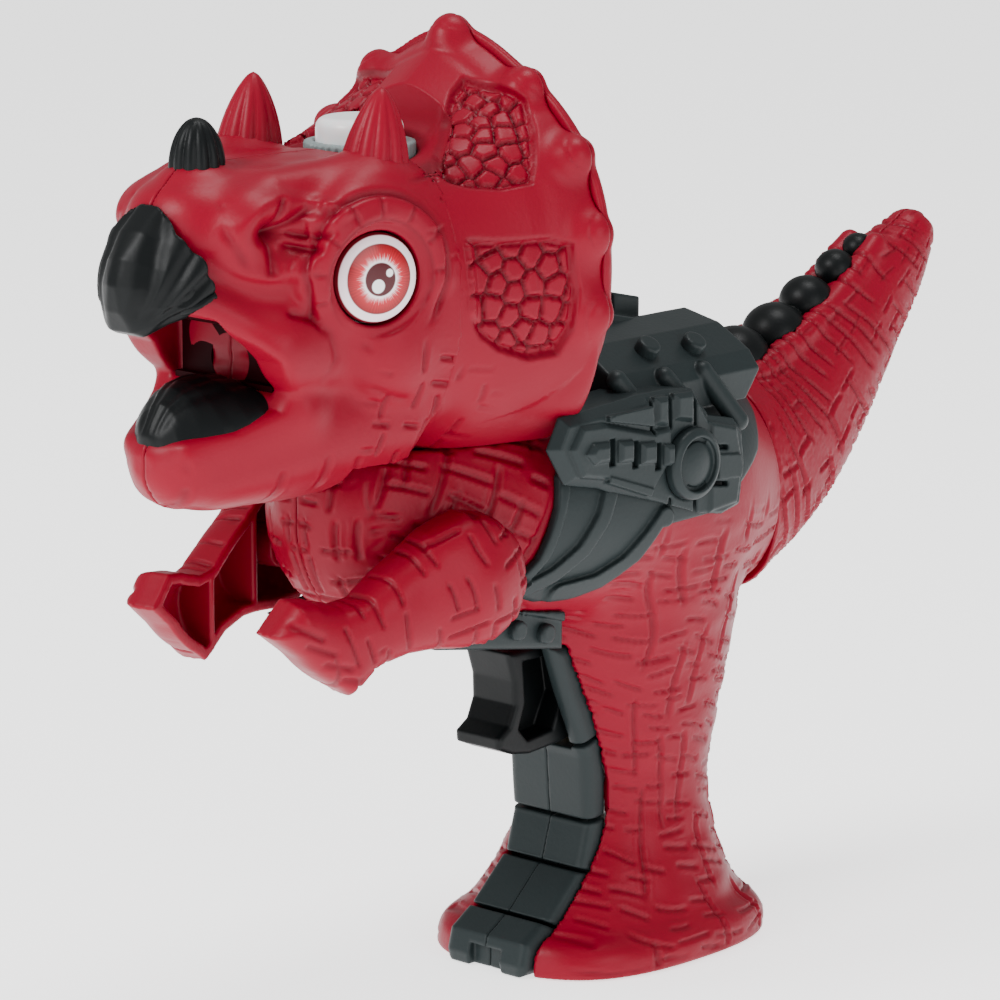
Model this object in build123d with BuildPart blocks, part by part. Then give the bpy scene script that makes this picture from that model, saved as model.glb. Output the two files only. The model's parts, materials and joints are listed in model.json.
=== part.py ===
from build123d import *
import math
import os

os.makedirs("parts", exist_ok=True)

# A toy bubble blower shaped like a horned dinosaur. The leg is the handle, the
# mouth blows the bubbles and the bottle of solution plugs into the head.
# Millimetres. +X is the animal's left side, -Y is forward, +Z is up. The origin
# is the middle of the sole, on the ground.

# ---------------------------------------------------------------- driving sizes

WALL = 2.4  # moulded shell
CLEAR = 0.3  # gap between neighbouring mouldings
PANEL = 2.8  # thickness of the trim that lies on the shell

NECK_Z = 139.5  # parting between the head above and the body below
FRILL_Y = -48.8  # front face of the back plate of the neck frill
FRILL_PLATE = 3.4
BODY_TOP_Y = FRILL_Y + FRILL_PLATE + CLEAR  # the head covers the body forward of this
TAIL_Y = 42.0  # parting between the body and the tail

EYE_CENTRE = (32.0, -108.0, 185.5)
EYE_TURN = 18.0  # degrees that an eye looks forward of straight sideways
EYE_RADIUS = 10.4

HORN_BASE = (20.5, -97.6, 207.0)
HORN_RADIUS = 7.6
HORN_TIP_Z = 227.0
NOSE_HORN_BASE = (0.0, -133.3, 208.5)
NOSE_HORN_RADIUS = 5.8
NOSE_HORN_TIP_Z = 221.5

BOTTLE_Y = -81.0
BOTTLE_RADIUS = 10.4
BOTTLE_TOP_Z = 217.0
BOTTLE_SHOULDER_Z = 182.0
NECK_RADIUS = 6.5
WELL_FLOOR_Z = 168.2
COLLAR_Z = 206.5
WELL_RADIUS = 12.2
COLLAR_TOP_Z = 211.5
COLLAR_RADIUS = 13.2

MOTOR_Z = 157.0
MOTOR_RADIUS = 10.0
MOTOR_FRONT_Y = -93.5
MOTOR_LENGTH = 25.0
SHAFT_RADIUS = 1.0
RING_Z = 165.0
RING_RADIUS = 10.5
FAN_RADIUS = 14.5
FAN_FRONT_Y = -103.0

GEAR_MODULE = 0.5
PINION_TEETH = 10
WHEEL_TEETH = 40
BACKLASH = 0.10

TRIGGER_TRAVEL = 4.0
TRIGGER_HALF_WIDTH = 8.5

CELL_RADIUS = 7.1
CELL_LENGTH = 50.0
CELL_Z = 4.6
CELL_PLACES = [(7.4, 2.0), (-7.4, 2.0), (0.0, 15.0)]

SHOULDER = (27.5, -80.0, 110.0)
ARM_TURN = 16.0  # degrees that a forearm points inward
ARM_THICKNESS = 14.0

# Sections of the main mouldings. Upright ones are y, half width, low z, high z.
HEAD_SECTIONS = [
    (-149.0, 14.0, 183.0, 206.0),
    (-138.0, 20.0, 177.0, 210.0),
    (-125.0, 25.0, 168.0, 211.0),
    (-110.0, 30.5, 158.0, 211.0),
    (-95.0, 35.0, 148.0, 210.5),
    (-80.0, 39.0, 138.0, 209.0),
    (-49.2, 42.0, 132.0, 209.0),
]
JAW_SECTIONS = [
    (-153.0, 10.0, 136.0, 148.0),
    (-140.0, 17.0, 132.0, 156.0),
    (-125.0, 22.0, 131.0, 161.0),
    (-106.0, 27.0, 131.0, 168.0),
    (-90.0, 30.0, 132.0, 174.0),
]
TORSO_SECTIONS = [
    (-106.0, 9.0, 112.0, 136.0),
    (-98.0, 17.0, 100.0, 142.0),
    (-80.0, 24.5, 95.0, 148.0),
    (-60.0, 31.0, 91.0, 151.0),
    (-30.0, 36.5, 87.0, 153.0),
    (0.0, 37.0, 84.0, 152.0),
    (25.0, 33.0, 82.0, 149.0),
    (TAIL_Y - CLEAR / 2, 26.0, 84.0, 140.0),
]
# Sections of the frill's dish: y, scale of the outline, height of its middle.
FRILL_SECTIONS = [(-88.0, 0.74, 177.0), (-66.0, 0.90, 187.5), (FRILL_Y - 0.1, 1.0, 190.8)]
FRILL_MIDDLE_Z = 190.8
# Level sections of the leg: z, half width, front y, rear y.
LEG_SECTIONS = [
    (0.0, 31.0, -36.0, 46.0),
    (12.0, 30.0, -30.0, 43.0),
    (26.0, 25.0, -17.5, 37.0),
    (40.0, 22.0, -13.5, 34.0),
    (58.0, 25.0, -17.0, 37.0),
    (80.0, 30.0, -27.0, 42.0),
    (100.0, 34.0, -33.0, 42.0),
    (122.0, 33.0, -33.0, 40.0),
]
# Sections across the tail: centre y, centre z, rise in degrees, half width, half height.
TAIL_SECTIONS = [
    (TAIL_Y + CLEAR / 2, 112.0, 0.0, 25.5, 27.0),
    (66.0, 118.5, 26.0, 21.5, 24.0),
    (86.0, 131.0, 38.0, 17.0, 19.5),
    (103.0, 145.5, 42.0, 13.0, 15.0),
    (118.0, 158.0, 44.0, 10.0, 10.5),
    (126.0, 166.0, 46.0, 6.0, 6.0),
]
# Half of the frill's outline: x, z from its crest to the throat.
FRILL_OUTLINE = [
    (0.0, 236.0),
    (10.0, 233.0),
    (19.5, 227.5),
    (27.0, 224.0),
    (35.5, 216.5),
    (42.0, 208.5),
    (46.5, 199.0),
    (48.8, 187.5),
    (48.6, 175.0),
    (47.0, 166.5),
    (43.0, 157.0),
    (37.0, 149.5),
    (27.0, 145.5),
]
FRILL_KNOBS = [(0.0, 235.0), (24.0, 224.0), (40.0, 208.5), (47.0, 190.5), (46.8, 171.7), (32.0, 149.5)]
KNOB_RADIUS = 3.3

# ---------------------------------------------------------------- shared shapes


def save(piece, name):
    """Label a finished piece and write it."""
    piece.part.label = name
    export_step(piece.part, f"parts/{name}.step")


def upright_loft(sections, grow=0.0):
    """A body through upright ellipses across Y, grown or shrunk all round."""
    with BuildPart() as body:
        for y, half_width, low, high in sections:
            with BuildSketch(Plane.XZ.offset(-y)):
                with Locations((0, (low + high) / 2)):
                    Ellipse(half_width + grow, (high - low) / 2 + grow)
        loft(ruled=True)
    return body.part


def level_loft(sections, grow=0.0):
    """A body through level ellipses, grown or shrunk all round."""
    with BuildPart() as body:
        for z, half_width, front, rear in sections:
            with BuildSketch(Plane.XY.offset(z)):
                with Locations((0, (front + rear) / 2)):
                    Ellipse(half_width + grow, (rear - front) / 2 + grow)
        loft(ruled=True)
    return body.part


def tail_loft(grow=0.0):
    """The tail through ellipses square to its centre line."""
    with BuildPart() as body:
        for y, z, rise, half_width, half_height in TAIL_SECTIONS:
            angle = math.radians(rise)
            across = Plane(
                origin=(0, y, z),
                x_dir=(1, 0, 0),
                z_dir=(0, -math.cos(angle), -math.sin(angle)),
            )
            with BuildSketch(across):
                Ellipse(half_width + grow, half_height + grow)
        loft(ruled=True)
    return body.part


def side_prism(points, low_x, high_x):
    """A prism along X with a straight-sided outline of y, z points."""
    with BuildPart() as body:
        with BuildSketch(Plane.YZ.offset(low_x)):
            with BuildLine():
                Polyline(*points, close=True)
            make_face()
        extrude(amount=high_x - low_x)
    return body.part


def block(low, high):
    """A rectangular block between two corners."""
    size = [b - a for a, b in zip(low, high)]
    with BuildPart() as body:
        with BuildSketch(Plane.XY.offset(low[2])):
            with Locations(((low[0] + high[0]) / 2, (low[1] + high[1]) / 2)):
                Rectangle(size[0], size[1])
        extrude(amount=size[2])
    return body.part


def rod_y(x, z, radius, start_y, end_y):
    """A round rod along Y."""
    with BuildPart() as body:
        with BuildSketch(Plane.XZ.offset(-end_y)):
            with Locations((x, z)):
                Circle(radius)
        extrude(amount=end_y - start_y)
    return body.part


def rod_x(y, z, radius, start_x, end_x):
    """A round rod along X."""
    with BuildPart() as body:
        with BuildSketch(Plane.YZ.offset(start_x)):
            with Locations((y, z)):
                Circle(radius)
        extrude(amount=end_x - start_x)
    return body.part


def rod_z(x, y, radius, start_z, end_z):
    """A round rod along Z."""
    with BuildPart() as body:
        with BuildSketch(Plane.XY.offset(start_z)):
            with Locations((x, y)):
                Circle(radius)
        extrude(amount=end_z - start_z)
    return body.part


def half(shape, side):
    """The left (+X) or right (-X) half of a shape."""
    keep = Keep.TOP if side == "left" else Keep.BOTTOM
    return split(shape, bisect_by=Plane.YZ, keep=keep, mode=Mode.PRIVATE)


# ---------------------------------------------------------------- screws

# Screws join the two halves. Each is y, z; the heads sit in the right half.
SCREW_PLACES = [(24.0, 72.0), (-66.0, 103.0), (26.0, 128.0), (-36.0, 136.0), (-62.0, 190.0), (-118.0, 142.0)]
BODY_SCREWS = 4  # the first four are in the body, the rest in the head
BOSS_RADIUS = 3.4
SCREW_RADIUS = 1.2
SCREW_HEAD_RADIUS = 2.4
SCREW_HALF_LENGTH = 7.0
SCREW_HEAD = 1.6

with BuildPart() as shell_screws:
    for screw_y, screw_z in SCREW_PLACES:
        add(rod_x(screw_y, screw_z, SCREW_RADIUS, -SCREW_HALF_LENGTH, SCREW_HALF_LENGTH))
        add(
            rod_x(
                screw_y,
                screw_z,
                SCREW_HEAD_RADIUS,
                -SCREW_HALF_LENGTH - SCREW_HEAD,
                -SCREW_HALF_LENGTH,
            )
        )
save(shell_screws, "shell_screws")


def bosses(places, outer):
    """Posts along X that carry the screws, cut off at the outer skin."""
    with BuildPart() as posts:
        for y, z in places:
            add(rod_x(y, z, BOSS_RADIUS, -60.0, 60.0))
        add(outer, mode=Mode.INTERSECT)
    return posts.part


def screw_holes(places, reach):
    """The screw holes and the wells down to their heads."""
    with BuildPart() as holes:
        for y, z in places:
            add(rod_x(y, z, SCREW_RADIUS + 0.05, -SCREW_HALF_LENGTH - 1, SCREW_HALF_LENGTH + 1))
            add(rod_x(y, z, SCREW_HEAD_RADIUS + 0.15, -reach, -SCREW_HALF_LENGTH))
    return holes.part


# ---------------------------------------------------------------- leg fittings

# Outline of the dark grip inlay down the front of the leg.
INLAY_OUTLINE = [
    (-28.5, 82.0),
    (-24.0, 70.0),
    (-18.5, 58.0),
    (-16.2, 51.7),
    (-14.8, 34.0),
    (-17.6, 24.4),
    (-29.4, 13.7),
    (-37.7, 8.5),
    (-39.2, 2.9),
    (-38.5, 0.0),
    (-26.0, 0.0),
    (-22.0, 8.0),
    (-10.0, 17.0),
    (-8.0, 30.0),
    (-8.0, 46.0),
    (-10.0, 60.0),
    (-17.0, 76.0),
    (-20.0, 82.0),
]
INLAY_HALF_WIDTH = 13.5
inlay_block = side_prism(INLAY_OUTLINE, -INLAY_HALF_WIDTH, INLAY_HALF_WIDTH)
inlay_space = side_prism(
    [(-60.0, 82.2), (-60.0, -1.0), (-25.7, -1.0), (-21.8, 8.2), (-9.8, 17.2), (-7.8, 30.0)]
    + [(-7.8, 46.2), (-9.8, 60.2), (-16.8, 76.2), (-19.8, 82.2)],
    -INLAY_HALF_WIDTH - 0.2,
    INLAY_HALF_WIDTH + 0.2,
)
TRIGGER_SWEEP = [(-60.0, 60.0), (-60.0, 90.0), (-24.0, 90.0), (-14.0, 60.0)]
trigger_space = block((-9.0, -60.0, 53.6), (9.0, -3.9, 82.6))

DOOR_LOW = (-10.0, 20.0, 12.0)
DOOR_HIGH = (10.0, 60.0, 54.0)
DOOR_SCREW_Z = 50.0
door_hole = block(DOOR_LOW, DOOR_HIGH)
door_block = block(
    (DOOR_LOW[0] + CLEAR, DOOR_LOW[1], DOOR_LOW[2] + CLEAR),
    (DOOR_HIGH[0] - CLEAR, DOOR_HIGH[1], DOOR_HIGH[2] - CLEAR),
)

# ---------------------------------------------------------------- body shell

torso_outer = upright_loft(TORSO_SECTIONS)
leg_outer = level_loft(LEG_SECTIONS)
leg_core_sections = [(WALL, 30.8, -35.0, 45.5)] + LEG_SECTIONS[1:]

with BuildPart() as body_skin:
    add(torso_outer)
    add(leg_outer)

with BuildPart() as body_shell:
    add(body_skin.part)
    add(upright_loft(TORSO_SECTIONS[1:-1], -WALL), mode=Mode.SUBTRACT)
    add(level_loft(leg_core_sections, -WALL), mode=Mode.SUBTRACT)
    add(bosses(SCREW_PLACES[:BODY_SCREWS], body_skin.part))
    add(block((-60.0, -120.0, NECK_Z - CLEAR), (60.0, BODY_TOP_Y, 170.0)), mode=Mode.SUBTRACT)
    add(block((-22.0, -99.0, 128.0), (22.0, -50.0, 145.0)), mode=Mode.SUBTRACT)
    add(block((-60.0, TAIL_Y - CLEAR / 2, 70.0), (60.0, 70.0, 150.0)), mode=Mode.SUBTRACT)
    add(screw_holes(SCREW_PLACES[:BODY_SCREWS], 45.0), mode=Mode.SUBTRACT)
    add(inlay_space, mode=Mode.SUBTRACT)
    add(trigger_space, mode=Mode.SUBTRACT)
    for side_x in (-SHOULDER[0], SHOULDER[0]):
        add(rod_x(SHOULDER[1], SHOULDER[2], 3.1, side_x - 14, side_x + 14), mode=Mode.SUBTRACT)

with BuildPart() as battery_door:
    add(body_shell.part)
    add(door_block, mode=Mode.INTERSECT)
    add(rod_y(0.0, DOOR_SCREW_Z, 1.5, 20.0, 45.0), mode=Mode.SUBTRACT)
    add(rod_y(0.0, DOOR_SCREW_Z, 2.6, 34.0, 45.0), mode=Mode.SUBTRACT)
save(battery_door, "battery_door")

with BuildPart() as body_left:
    add(half(body_shell.part, "left"))
    add(door_hole, mode=Mode.SUBTRACT)
save(body_left, "body_left")

with BuildPart() as body_right:
    add(half(body_shell.part, "right"))
    add(door_hole, mode=Mode.SUBTRACT)
save(body_right, "body_right")

# ---------------------------------------------------------------- tail

STUDS = [(55.0, 142.5, 7.3), (70.8, 147.0, 7.3), (82.8, 154.0, 6.0), (94.9, 161.0, 4.3), (104.3, 165.0, 3.8)]

with BuildPart() as tail_studs:
    for stud_y, stud_z, stud_radius in STUDS:
        with Locations((0, stud_y, stud_z)):
            Sphere(stud_radius)
    add(tail_loft(0.1), mode=Mode.SUBTRACT)
save(tail_studs, "tail_studs")

with BuildPart() as tail_shell:
    add(tail_loft())
    with Locations((0, TAIL_SECTIONS[-1][0], TAIL_SECTIONS[-1][1])):
        Sphere(TAIL_SECTIONS[-1][3] + 0.6)
    add(tail_loft(-WALL), mode=Mode.SUBTRACT)

for tail_side in ("left", "right"):
    with BuildPart() as tail_half:
        add(half(tail_shell.part, tail_side))
    save(tail_half, f"tail_{tail_side}")

# ---------------------------------------------------------------- saddle trim

SADDLE_REGION = [
    (-37.0, 170.0),
    (-37.0, 139.0),
    (-50.0, 139.0),
    (-51.0, 126.0),
    (-55.5, 112.0),
    (-62.0, 104.0),
    (-44.0, 98.5),
    (-32.0, 100.4),
    (-23.0, 106.0),
    (-17.7, 114.0),
    (5.0, 115.0),
    (34.0, 127.0),
    (36.0, 145.0),
    (41.0, 170.0),
]
BELLY_REGION = [(-92.5, 96.0), (-57.3, 102.0), (-34.0, 94.0), (-34.0, 70.0), (-93.0, 70.0)]
torso_skin = upright_loft(TORSO_SECTIONS, CLEAR)
trim_outer = upright_loft(TORSO_SECTIONS, PANEL)

# Raised panel beside the top rail: x, z of its section, and where it starts and ends.
PANEL_SECTION = [(12.2, 157.5), (21.0, 156.0), (30.0, 150.0), (33.0, 141.0), (28.0, 130.0), (12.2, 140.0)]
PANEL_FRONT_Y = -27.0
PANEL_REAR_Y = 24.0

with BuildPart() as saddle:
    add(trim_outer)
    for mirror_sign in (-1, 1):
        with BuildSketch(Plane.XZ.offset(-PANEL_REAR_Y)):
            with BuildLine():
                Polyline(*[(mirror_sign * x, z) for x, z in PANEL_SECTION], close=True)
            make_face()
        extrude(amount=PANEL_REAR_Y - PANEL_FRONT_Y)
    add(side_prism(SADDLE_REGION, -60.0, 60.0), mode=Mode.INTERSECT)
    add(torso_skin, mode=Mode.SUBTRACT)
    add(level_loft(LEG_SECTIONS, 0.1), mode=Mode.SUBTRACT)
    add(screw_holes(SCREW_PLACES[:BODY_SCREWS], 45.0), mode=Mode.SUBTRACT)

for saddle_side in ("left", "right"):
    with BuildPart() as saddle_half:
        add(half(saddle.part, saddle_side))
    save(saddle_half, f"saddle_{saddle_side}")

with BuildPart() as belly_plate:
    add(trim_outer)
    add(side_prism(BELLY_REGION, -26.0, 26.0), mode=Mode.INTERSECT)
    add(torso_skin, mode=Mode.SUBTRACT)
    add(level_loft(LEG_SECTIONS, 0.1), mode=Mode.SUBTRACT)
    add(inlay_space, mode=Mode.SUBTRACT)
    add(screw_holes(SCREW_PLACES[:BODY_SCREWS], 45.0), mode=Mode.SUBTRACT)
save(belly_plate, "belly_plate")

trim_clear = upright_loft(TORSO_SECTIONS, PANEL + 0.1)
RAIL_OUTLINE = [
    (-14.0, 147.0),
    (-9.0, 158.0),
    (-5.0, 162.0),
    (23.0, 155.5),
    (37.0, 151.5),
    (41.0, 146.0),
    (41.0, 140.0),
]

with BuildPart() as saddle_rail:
    add(side_prism(RAIL_OUTLINE, -12.0, 12.0))
    add(block((-5.0, 3.0, 155.0), (5.0, 13.0, 165.5)))
    add(trim_clear, mode=Mode.SUBTRACT)
    add(block((-60.0, TAIL_Y - CLEAR / 2, 70.0), (60.0, 70.0, 150.0)), mode=Mode.SUBTRACT)
save(saddle_rail, "saddle_rail")

PLATE_OUTLINE = [
    (-57.0, 138.5),
    (-51.0, 144.5),
    (-42.0, 147.5),
    (-3.0, 146.0),
    (10.0, 136.0),
    (14.0, 124.0),
    (11.0, 115.5),
    (-3.0, 114.5),
    (-22.0, 121.0),
    (-40.0, 128.5),
    (-51.0, 133.0),
]
PLATE_FACE_X = 42.5
DISC_PLACE = (-10.0, 129.5)
DISC_RADIUS = 8.8

with BuildPart() as side_plate_left:
    add(side_prism(PLATE_OUTLINE, 26.0, PLATE_FACE_X))
    add(trim_clear, mode=Mode.SUBTRACT)
    add(block((0.0, -70.0, NECK_Z - CLEAR), (34.0, BODY_TOP_Y, 170.0)), mode=Mode.SUBTRACT)
    add(saddle.part, mode=Mode.SUBTRACT)
    with BuildSketch(Plane.YZ.offset(PLATE_FACE_X)):
        with Locations((-22.8, 132.8), (-31.0, 134.4), (-39.2, 136.0)):
            Rectangle(2.2, 7.5)
    extrude(amount=-1.4, mode=Mode.SUBTRACT)
    add(rod_x(DISC_PLACE[0], DISC_PLACE[1], DISC_RADIUS + 0.2, PLATE_FACE_X - 1.5, 50.0), mode=Mode.SUBTRACT)
save(side_plate_left, "side_plate_left")

with BuildPart() as side_discs:
    with BuildSketch(Plane.YZ.offset(PLATE_FACE_X - 1.5)):
        with Locations(DISC_PLACE):
            Circle(DISC_RADIUS)
    extrude(amount=3.2)
    with BuildSketch(Plane.YZ.offset(PLATE_FACE_X + 1.7)):
        with Locations(DISC_PLACE):
            Circle(DISC_RADIUS - 1.6)
            Circle(DISC_RADIUS - 3.2, mode=Mode.SUBTRACT)
    extrude(amount=-1.0, mode=Mode.SUBTRACT)
    mirror(about=Plane.YZ)
save(side_discs, "side_discs")

TOP_STUDS = [(-9.5, 153.0, 25.5), (6.5, 153.0, 25.5)]
BELLY_STUDS = [(-43.0, 91.5), (-57.0, 93.5)]

with BuildPart() as saddle_studs:
    for mirror_sign in (-1, 1):
        for stud_y, stud_z, stud_x in TOP_STUDS:
            stud_foot = (mirror_sign * stud_x, stud_y, stud_z - 1.0)
            with BuildSketch(Plane(origin=stud_foot, z_dir=(mirror_sign * 0.55, 0, 0.83))):
                Circle(3.0)
            extrude(amount=3.0)
        for stud_y, stud_z in BELLY_STUDS:
            stud_foot = (mirror_sign * 20, stud_y, stud_z + 3)
            with BuildSketch(Plane(origin=stud_foot, z_dir=(mirror_sign, 0, -0.45))):
                Circle(2.6)
            extrude(amount=9.0)
    add(trim_clear, mode=Mode.SUBTRACT)
    add(saddle.part, mode=Mode.SUBTRACT)
    add(level_loft(LEG_SECTIONS, 0.1), mode=Mode.SUBTRACT)
save(saddle_studs, "saddle_studs")

# ---------------------------------------------------------------- grip inlay and trigger

for inlay_side in ("left", "right"):
    with BuildPart() as inlay_half:
        add(half(inlay_block, inlay_side))
        add(trigger_space, mode=Mode.SUBTRACT)
        add(side_prism(TRIGGER_SWEEP, -9.0, 9.0), mode=Mode.SUBTRACT)
    save(inlay_half, f"grip_inlay_{inlay_side}")

TRIGGER_OUTLINE = [
    (-41.0, 81.5),
    (-38.5, 74.0),
    (-38.5, 68.0),
    (-41.0, 63.0),
    (-45.5, 60.5),
    (-45.0, 57.5),
    (-38.0, 55.5),
    (-30.0, 54.5),
    (-18.0, 55.5),
    (-9.0, 58.0),
    (-9.0, 79.0),
    (-17.0, 81.5),
]
TRIGGER_POCKET = [
    (-34.5, 77.5),
    (-34.0, 68.0),
    (-36.0, 62.0),
    (-32.0, 58.5),
    (-22.0, 60.0),
    (-19.0, 68.0),
    (-21.0, 77.5),
]

with BuildPart() as trigger:
    add(side_prism(TRIGGER_OUTLINE, -TRIGGER_HALF_WIDTH, TRIGGER_HALF_WIDTH))
    add(side_prism(TRIGGER_POCKET, 1.2, 20.0), mode=Mode.SUBTRACT)
    add(side_prism(TRIGGER_POCKET, -20.0, -1.2), mode=Mode.SUBTRACT)
save(trigger, "trigger")

SPRING_Z = 72.0
SPRING_COIL = 3.0
SPRING_WIRE = 0.35
TRIGGER_BACK = -9.0
SEAT_Y = 6.0

with BuildPart() as trigger_spring:
    spring_start = TRIGGER_BACK + SPRING_WIRE
    spring_length = SEAT_Y - TRIGGER_BACK - 2 * SPRING_WIRE
    with BuildLine() as coil:
        Helix(
            pitch=spring_length / 6,
            height=spring_length,
            radius=SPRING_COIL,
            center=(0, spring_start, SPRING_Z),
            direction=(0, 1, 0),
        )
    with BuildSketch(Plane(origin=coil.line @ 0, z_dir=coil.line % 0)):
        Circle(SPRING_WIRE)
    sweep(is_frenet=True)
save(trigger_spring, "trigger_spring")

with BuildPart() as contact_bridge:
    add(block((-6.0, TRIGGER_BACK, 58.5), (6.0, TRIGGER_BACK + 0.8, 63.5)))
save(contact_bridge, "contact_bridge")

LEAF_Y = TRIGGER_BACK + 0.8 + TRIGGER_TRAVEL + 0.3

with BuildPart() as trigger_guide:
    add(block((-13.0, LEAF_Y + 0.6, 57.0), (13.0, SEAT_Y + 2.0, 79.0)))
    add(block((-7.0, -10.0, 66.5), (7.0, SEAT_Y, 77.5)), mode=Mode.SUBTRACT)
    add(rod_y(0.0, SPRING_Z, 2.2, -2.0, SEAT_Y + 1.0))
save(trigger_guide, "trigger_guide")

# ---------------------------------------------------------------- battery

with BuildPart() as battery_cells:
    for cell_x, cell_y in CELL_PLACES:
        add(rod_z(cell_x, cell_y, CELL_RADIUS, CELL_Z, CELL_Z + CELL_LENGTH))
save(battery_cells, "battery_cells")

with BuildPart() as electric_contacts:
    for leaf_x in (-3.5, 3.5):
        add(block((leaf_x - 1.5, LEAF_Y, 58.5), (leaf_x + 1.5, LEAF_Y + 0.6, 66.0)))
    for contact_z in (CELL_Z - 1.0, CELL_Z + CELL_LENGTH + 0.2):
        for cell_x, cell_y in CELL_PLACES:
            add(rod_z(cell_x, cell_y, 4.2, contact_z, contact_z + 0.8))
save(electric_contacts, "electric_contacts")

with BuildPart() as battery_carrier:
    with BuildSketch(Plane.XY.offset(CELL_Z + 4)):
        with Locations(*CELL_PLACES):
            Circle(CELL_RADIUS + 1.7)
        with Locations(*CELL_PLACES):
            Circle(CELL_RADIUS + 0.2, mode=Mode.SUBTRACT)
        with Locations((0, 20)):
            Rectangle(40, 12, mode=Mode.SUBTRACT)
    extrude(amount=CELL_LENGTH - 8)
save(battery_carrier, "battery_carrier")

# ---------------------------------------------------------------- head shell

head_outer = upright_loft(HEAD_SECTIONS)
jaw_outer = upright_loft(JAW_SECTIONS)
MOUTH_OUTLINE = [
    (-175.0, 179.5),
    (-145.0, 179.5),
    (-127.0, 173.0),
    (-123.8, 173.0),
    (-123.8, 160.5),
    (-129.0, 159.0),
    (-150.0, 151.5),
    (-175.0, 151.5),
]
CORE_SECTIONS = [(-128.0, 19.0, 150.0, 180.0), (-110.0, 25.0, 137.0, 186.0), (-52.0, 32.0, 128.0, 198.0)]


def eye_plane(side):
    """A plane on the eyeball, facing out of the head. side is 1 for left, -1 for right."""
    turn = math.radians(EYE_TURN)
    return Plane(
        origin=(side * EYE_CENTRE[0], EYE_CENTRE[1], EYE_CENTRE[2]),
        x_dir=(0, 0, 1),
        z_dir=(side * math.cos(turn), -math.sin(turn), 0),
    )


def eye_socket(side):
    """The round hole that an eye sits in."""
    with BuildPart() as hole:
        with BuildSketch(eye_plane(side).offset(-6.0)):
            Circle(EYE_RADIUS + 0.2)
        extrude(amount=16)
    return hole.part


with BuildPart() as head_skin:
    add(head_outer)
    add(jaw_outer)

with BuildPart() as head_shell:
    add(head_skin.part)
    add(upright_loft(HEAD_SECTIONS[:-1], -WALL), mode=Mode.SUBTRACT)
    add(upright_loft([(-90.0, 36.0, 144.0, 209.5), (-40.0, 43.0, 130.0, 209.0)], -WALL), mode=Mode.SUBTRACT)
    add(upright_loft(JAW_SECTIONS, -WALL), mode=Mode.SUBTRACT)
    add(upright_loft(CORE_SECTIONS), mode=Mode.SUBTRACT)
    add(bosses(SCREW_PLACES[BODY_SCREWS:], head_skin.part))
    add(side_prism(MOUTH_OUTLINE, -50.0, 50.0), mode=Mode.SUBTRACT)
    add(block((-60.0, -107.0, 100.0), (60.0, -40.0, NECK_Z + CLEAR)), mode=Mode.SUBTRACT)
    add(screw_holes(SCREW_PLACES[BODY_SCREWS:], 60.0), mode=Mode.SUBTRACT)
    add(rod_z(0.0, BOTTLE_Y, WELL_RADIUS + 0.2, 195.0, 225.0), mode=Mode.SUBTRACT)
    add(rod_z(0.0, BOTTLE_Y, COLLAR_RADIUS + 0.2, COLLAR_Z + 0.6, 225.0), mode=Mode.SUBTRACT)
    for eye_side in (-1, 1):
        add(eye_socket(eye_side), mode=Mode.SUBTRACT)

for head_side in ("left", "right"):
    with BuildPart() as head_half:
        add(half(head_shell.part, head_side))
    save(head_half, f"head_{head_side}")

for eye_name, eye_side in (("eye_left", 1), ("eye_right", -1)):
    with BuildPart() as eye:
        with BuildSketch(eye_plane(eye_side).offset(-4.0)):
            Circle(EYE_RADIUS)
        extrude(amount=4.6)
        chamfer(eye.edges().filter_by(GeomType.CIRCLE), length=1.0)
    save(eye, eye_name)

# ---------------------------------------------------------------- frill


def frill_face(y, scale, middle_z, inset=0.0):
    """The frill's outline, scaled about its middle and set upright at y."""
    shrink = scale - inset / FRILL_OUTLINE[7][0]
    left = [(x * shrink, middle_z + (z - FRILL_MIDDLE_Z) * shrink) for x, z in FRILL_OUTLINE]
    right = [(-x, z) for x, z in reversed(left[1:])]
    with BuildSketch(Plane.XZ.offset(-y)) as face:
        with BuildLine():
            Polyline(*left, *right, close=True)
        make_face()
    return face.sketch


def frill_dish(inset):
    """The dished front of the frill as a solid, shrunk by an inset."""
    with BuildPart() as body:
        for y, scale, middle_z in FRILL_SECTIONS:
            add(frill_face(y, scale, middle_z, inset))
        loft(ruled=True)
    return body.part


with BuildPart() as frill_front:
    add(frill_dish(0.0))
    add(frill_dish(WALL), mode=Mode.SUBTRACT)
    add(upright_loft(HEAD_SECTIONS, 0.1), mode=Mode.SUBTRACT)
    add(block((-24.0, -95.0, NECK_Z), (24.0, -52.0, 152.0)), mode=Mode.SUBTRACT)
    add(rod_z(0.0, BOTTLE_Y, COLLAR_RADIUS + CLEAR, 195.0, 260.0), mode=Mode.SUBTRACT)
save(frill_front, "frill_front")

with BuildPart() as frill_back:
    extrude(frill_face(FRILL_Y, 1.0, FRILL_MIDDLE_Z), amount=FRILL_PLATE, dir=(0, 1, 0))
    for knob_x, knob_z in FRILL_KNOBS:
        for knob_sign in (-1, 1):
            with Locations((knob_sign * knob_x, FRILL_Y + KNOB_RADIUS, knob_z)):
                Sphere(KNOB_RADIUS)
    add(block((-60.0, FRILL_Y + FRILL_PLATE, 100.0), (60.0, -30.0, 260.0)), mode=Mode.SUBTRACT)
save(frill_back, "frill_back")

# ---------------------------------------------------------------- beak and horns

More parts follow.
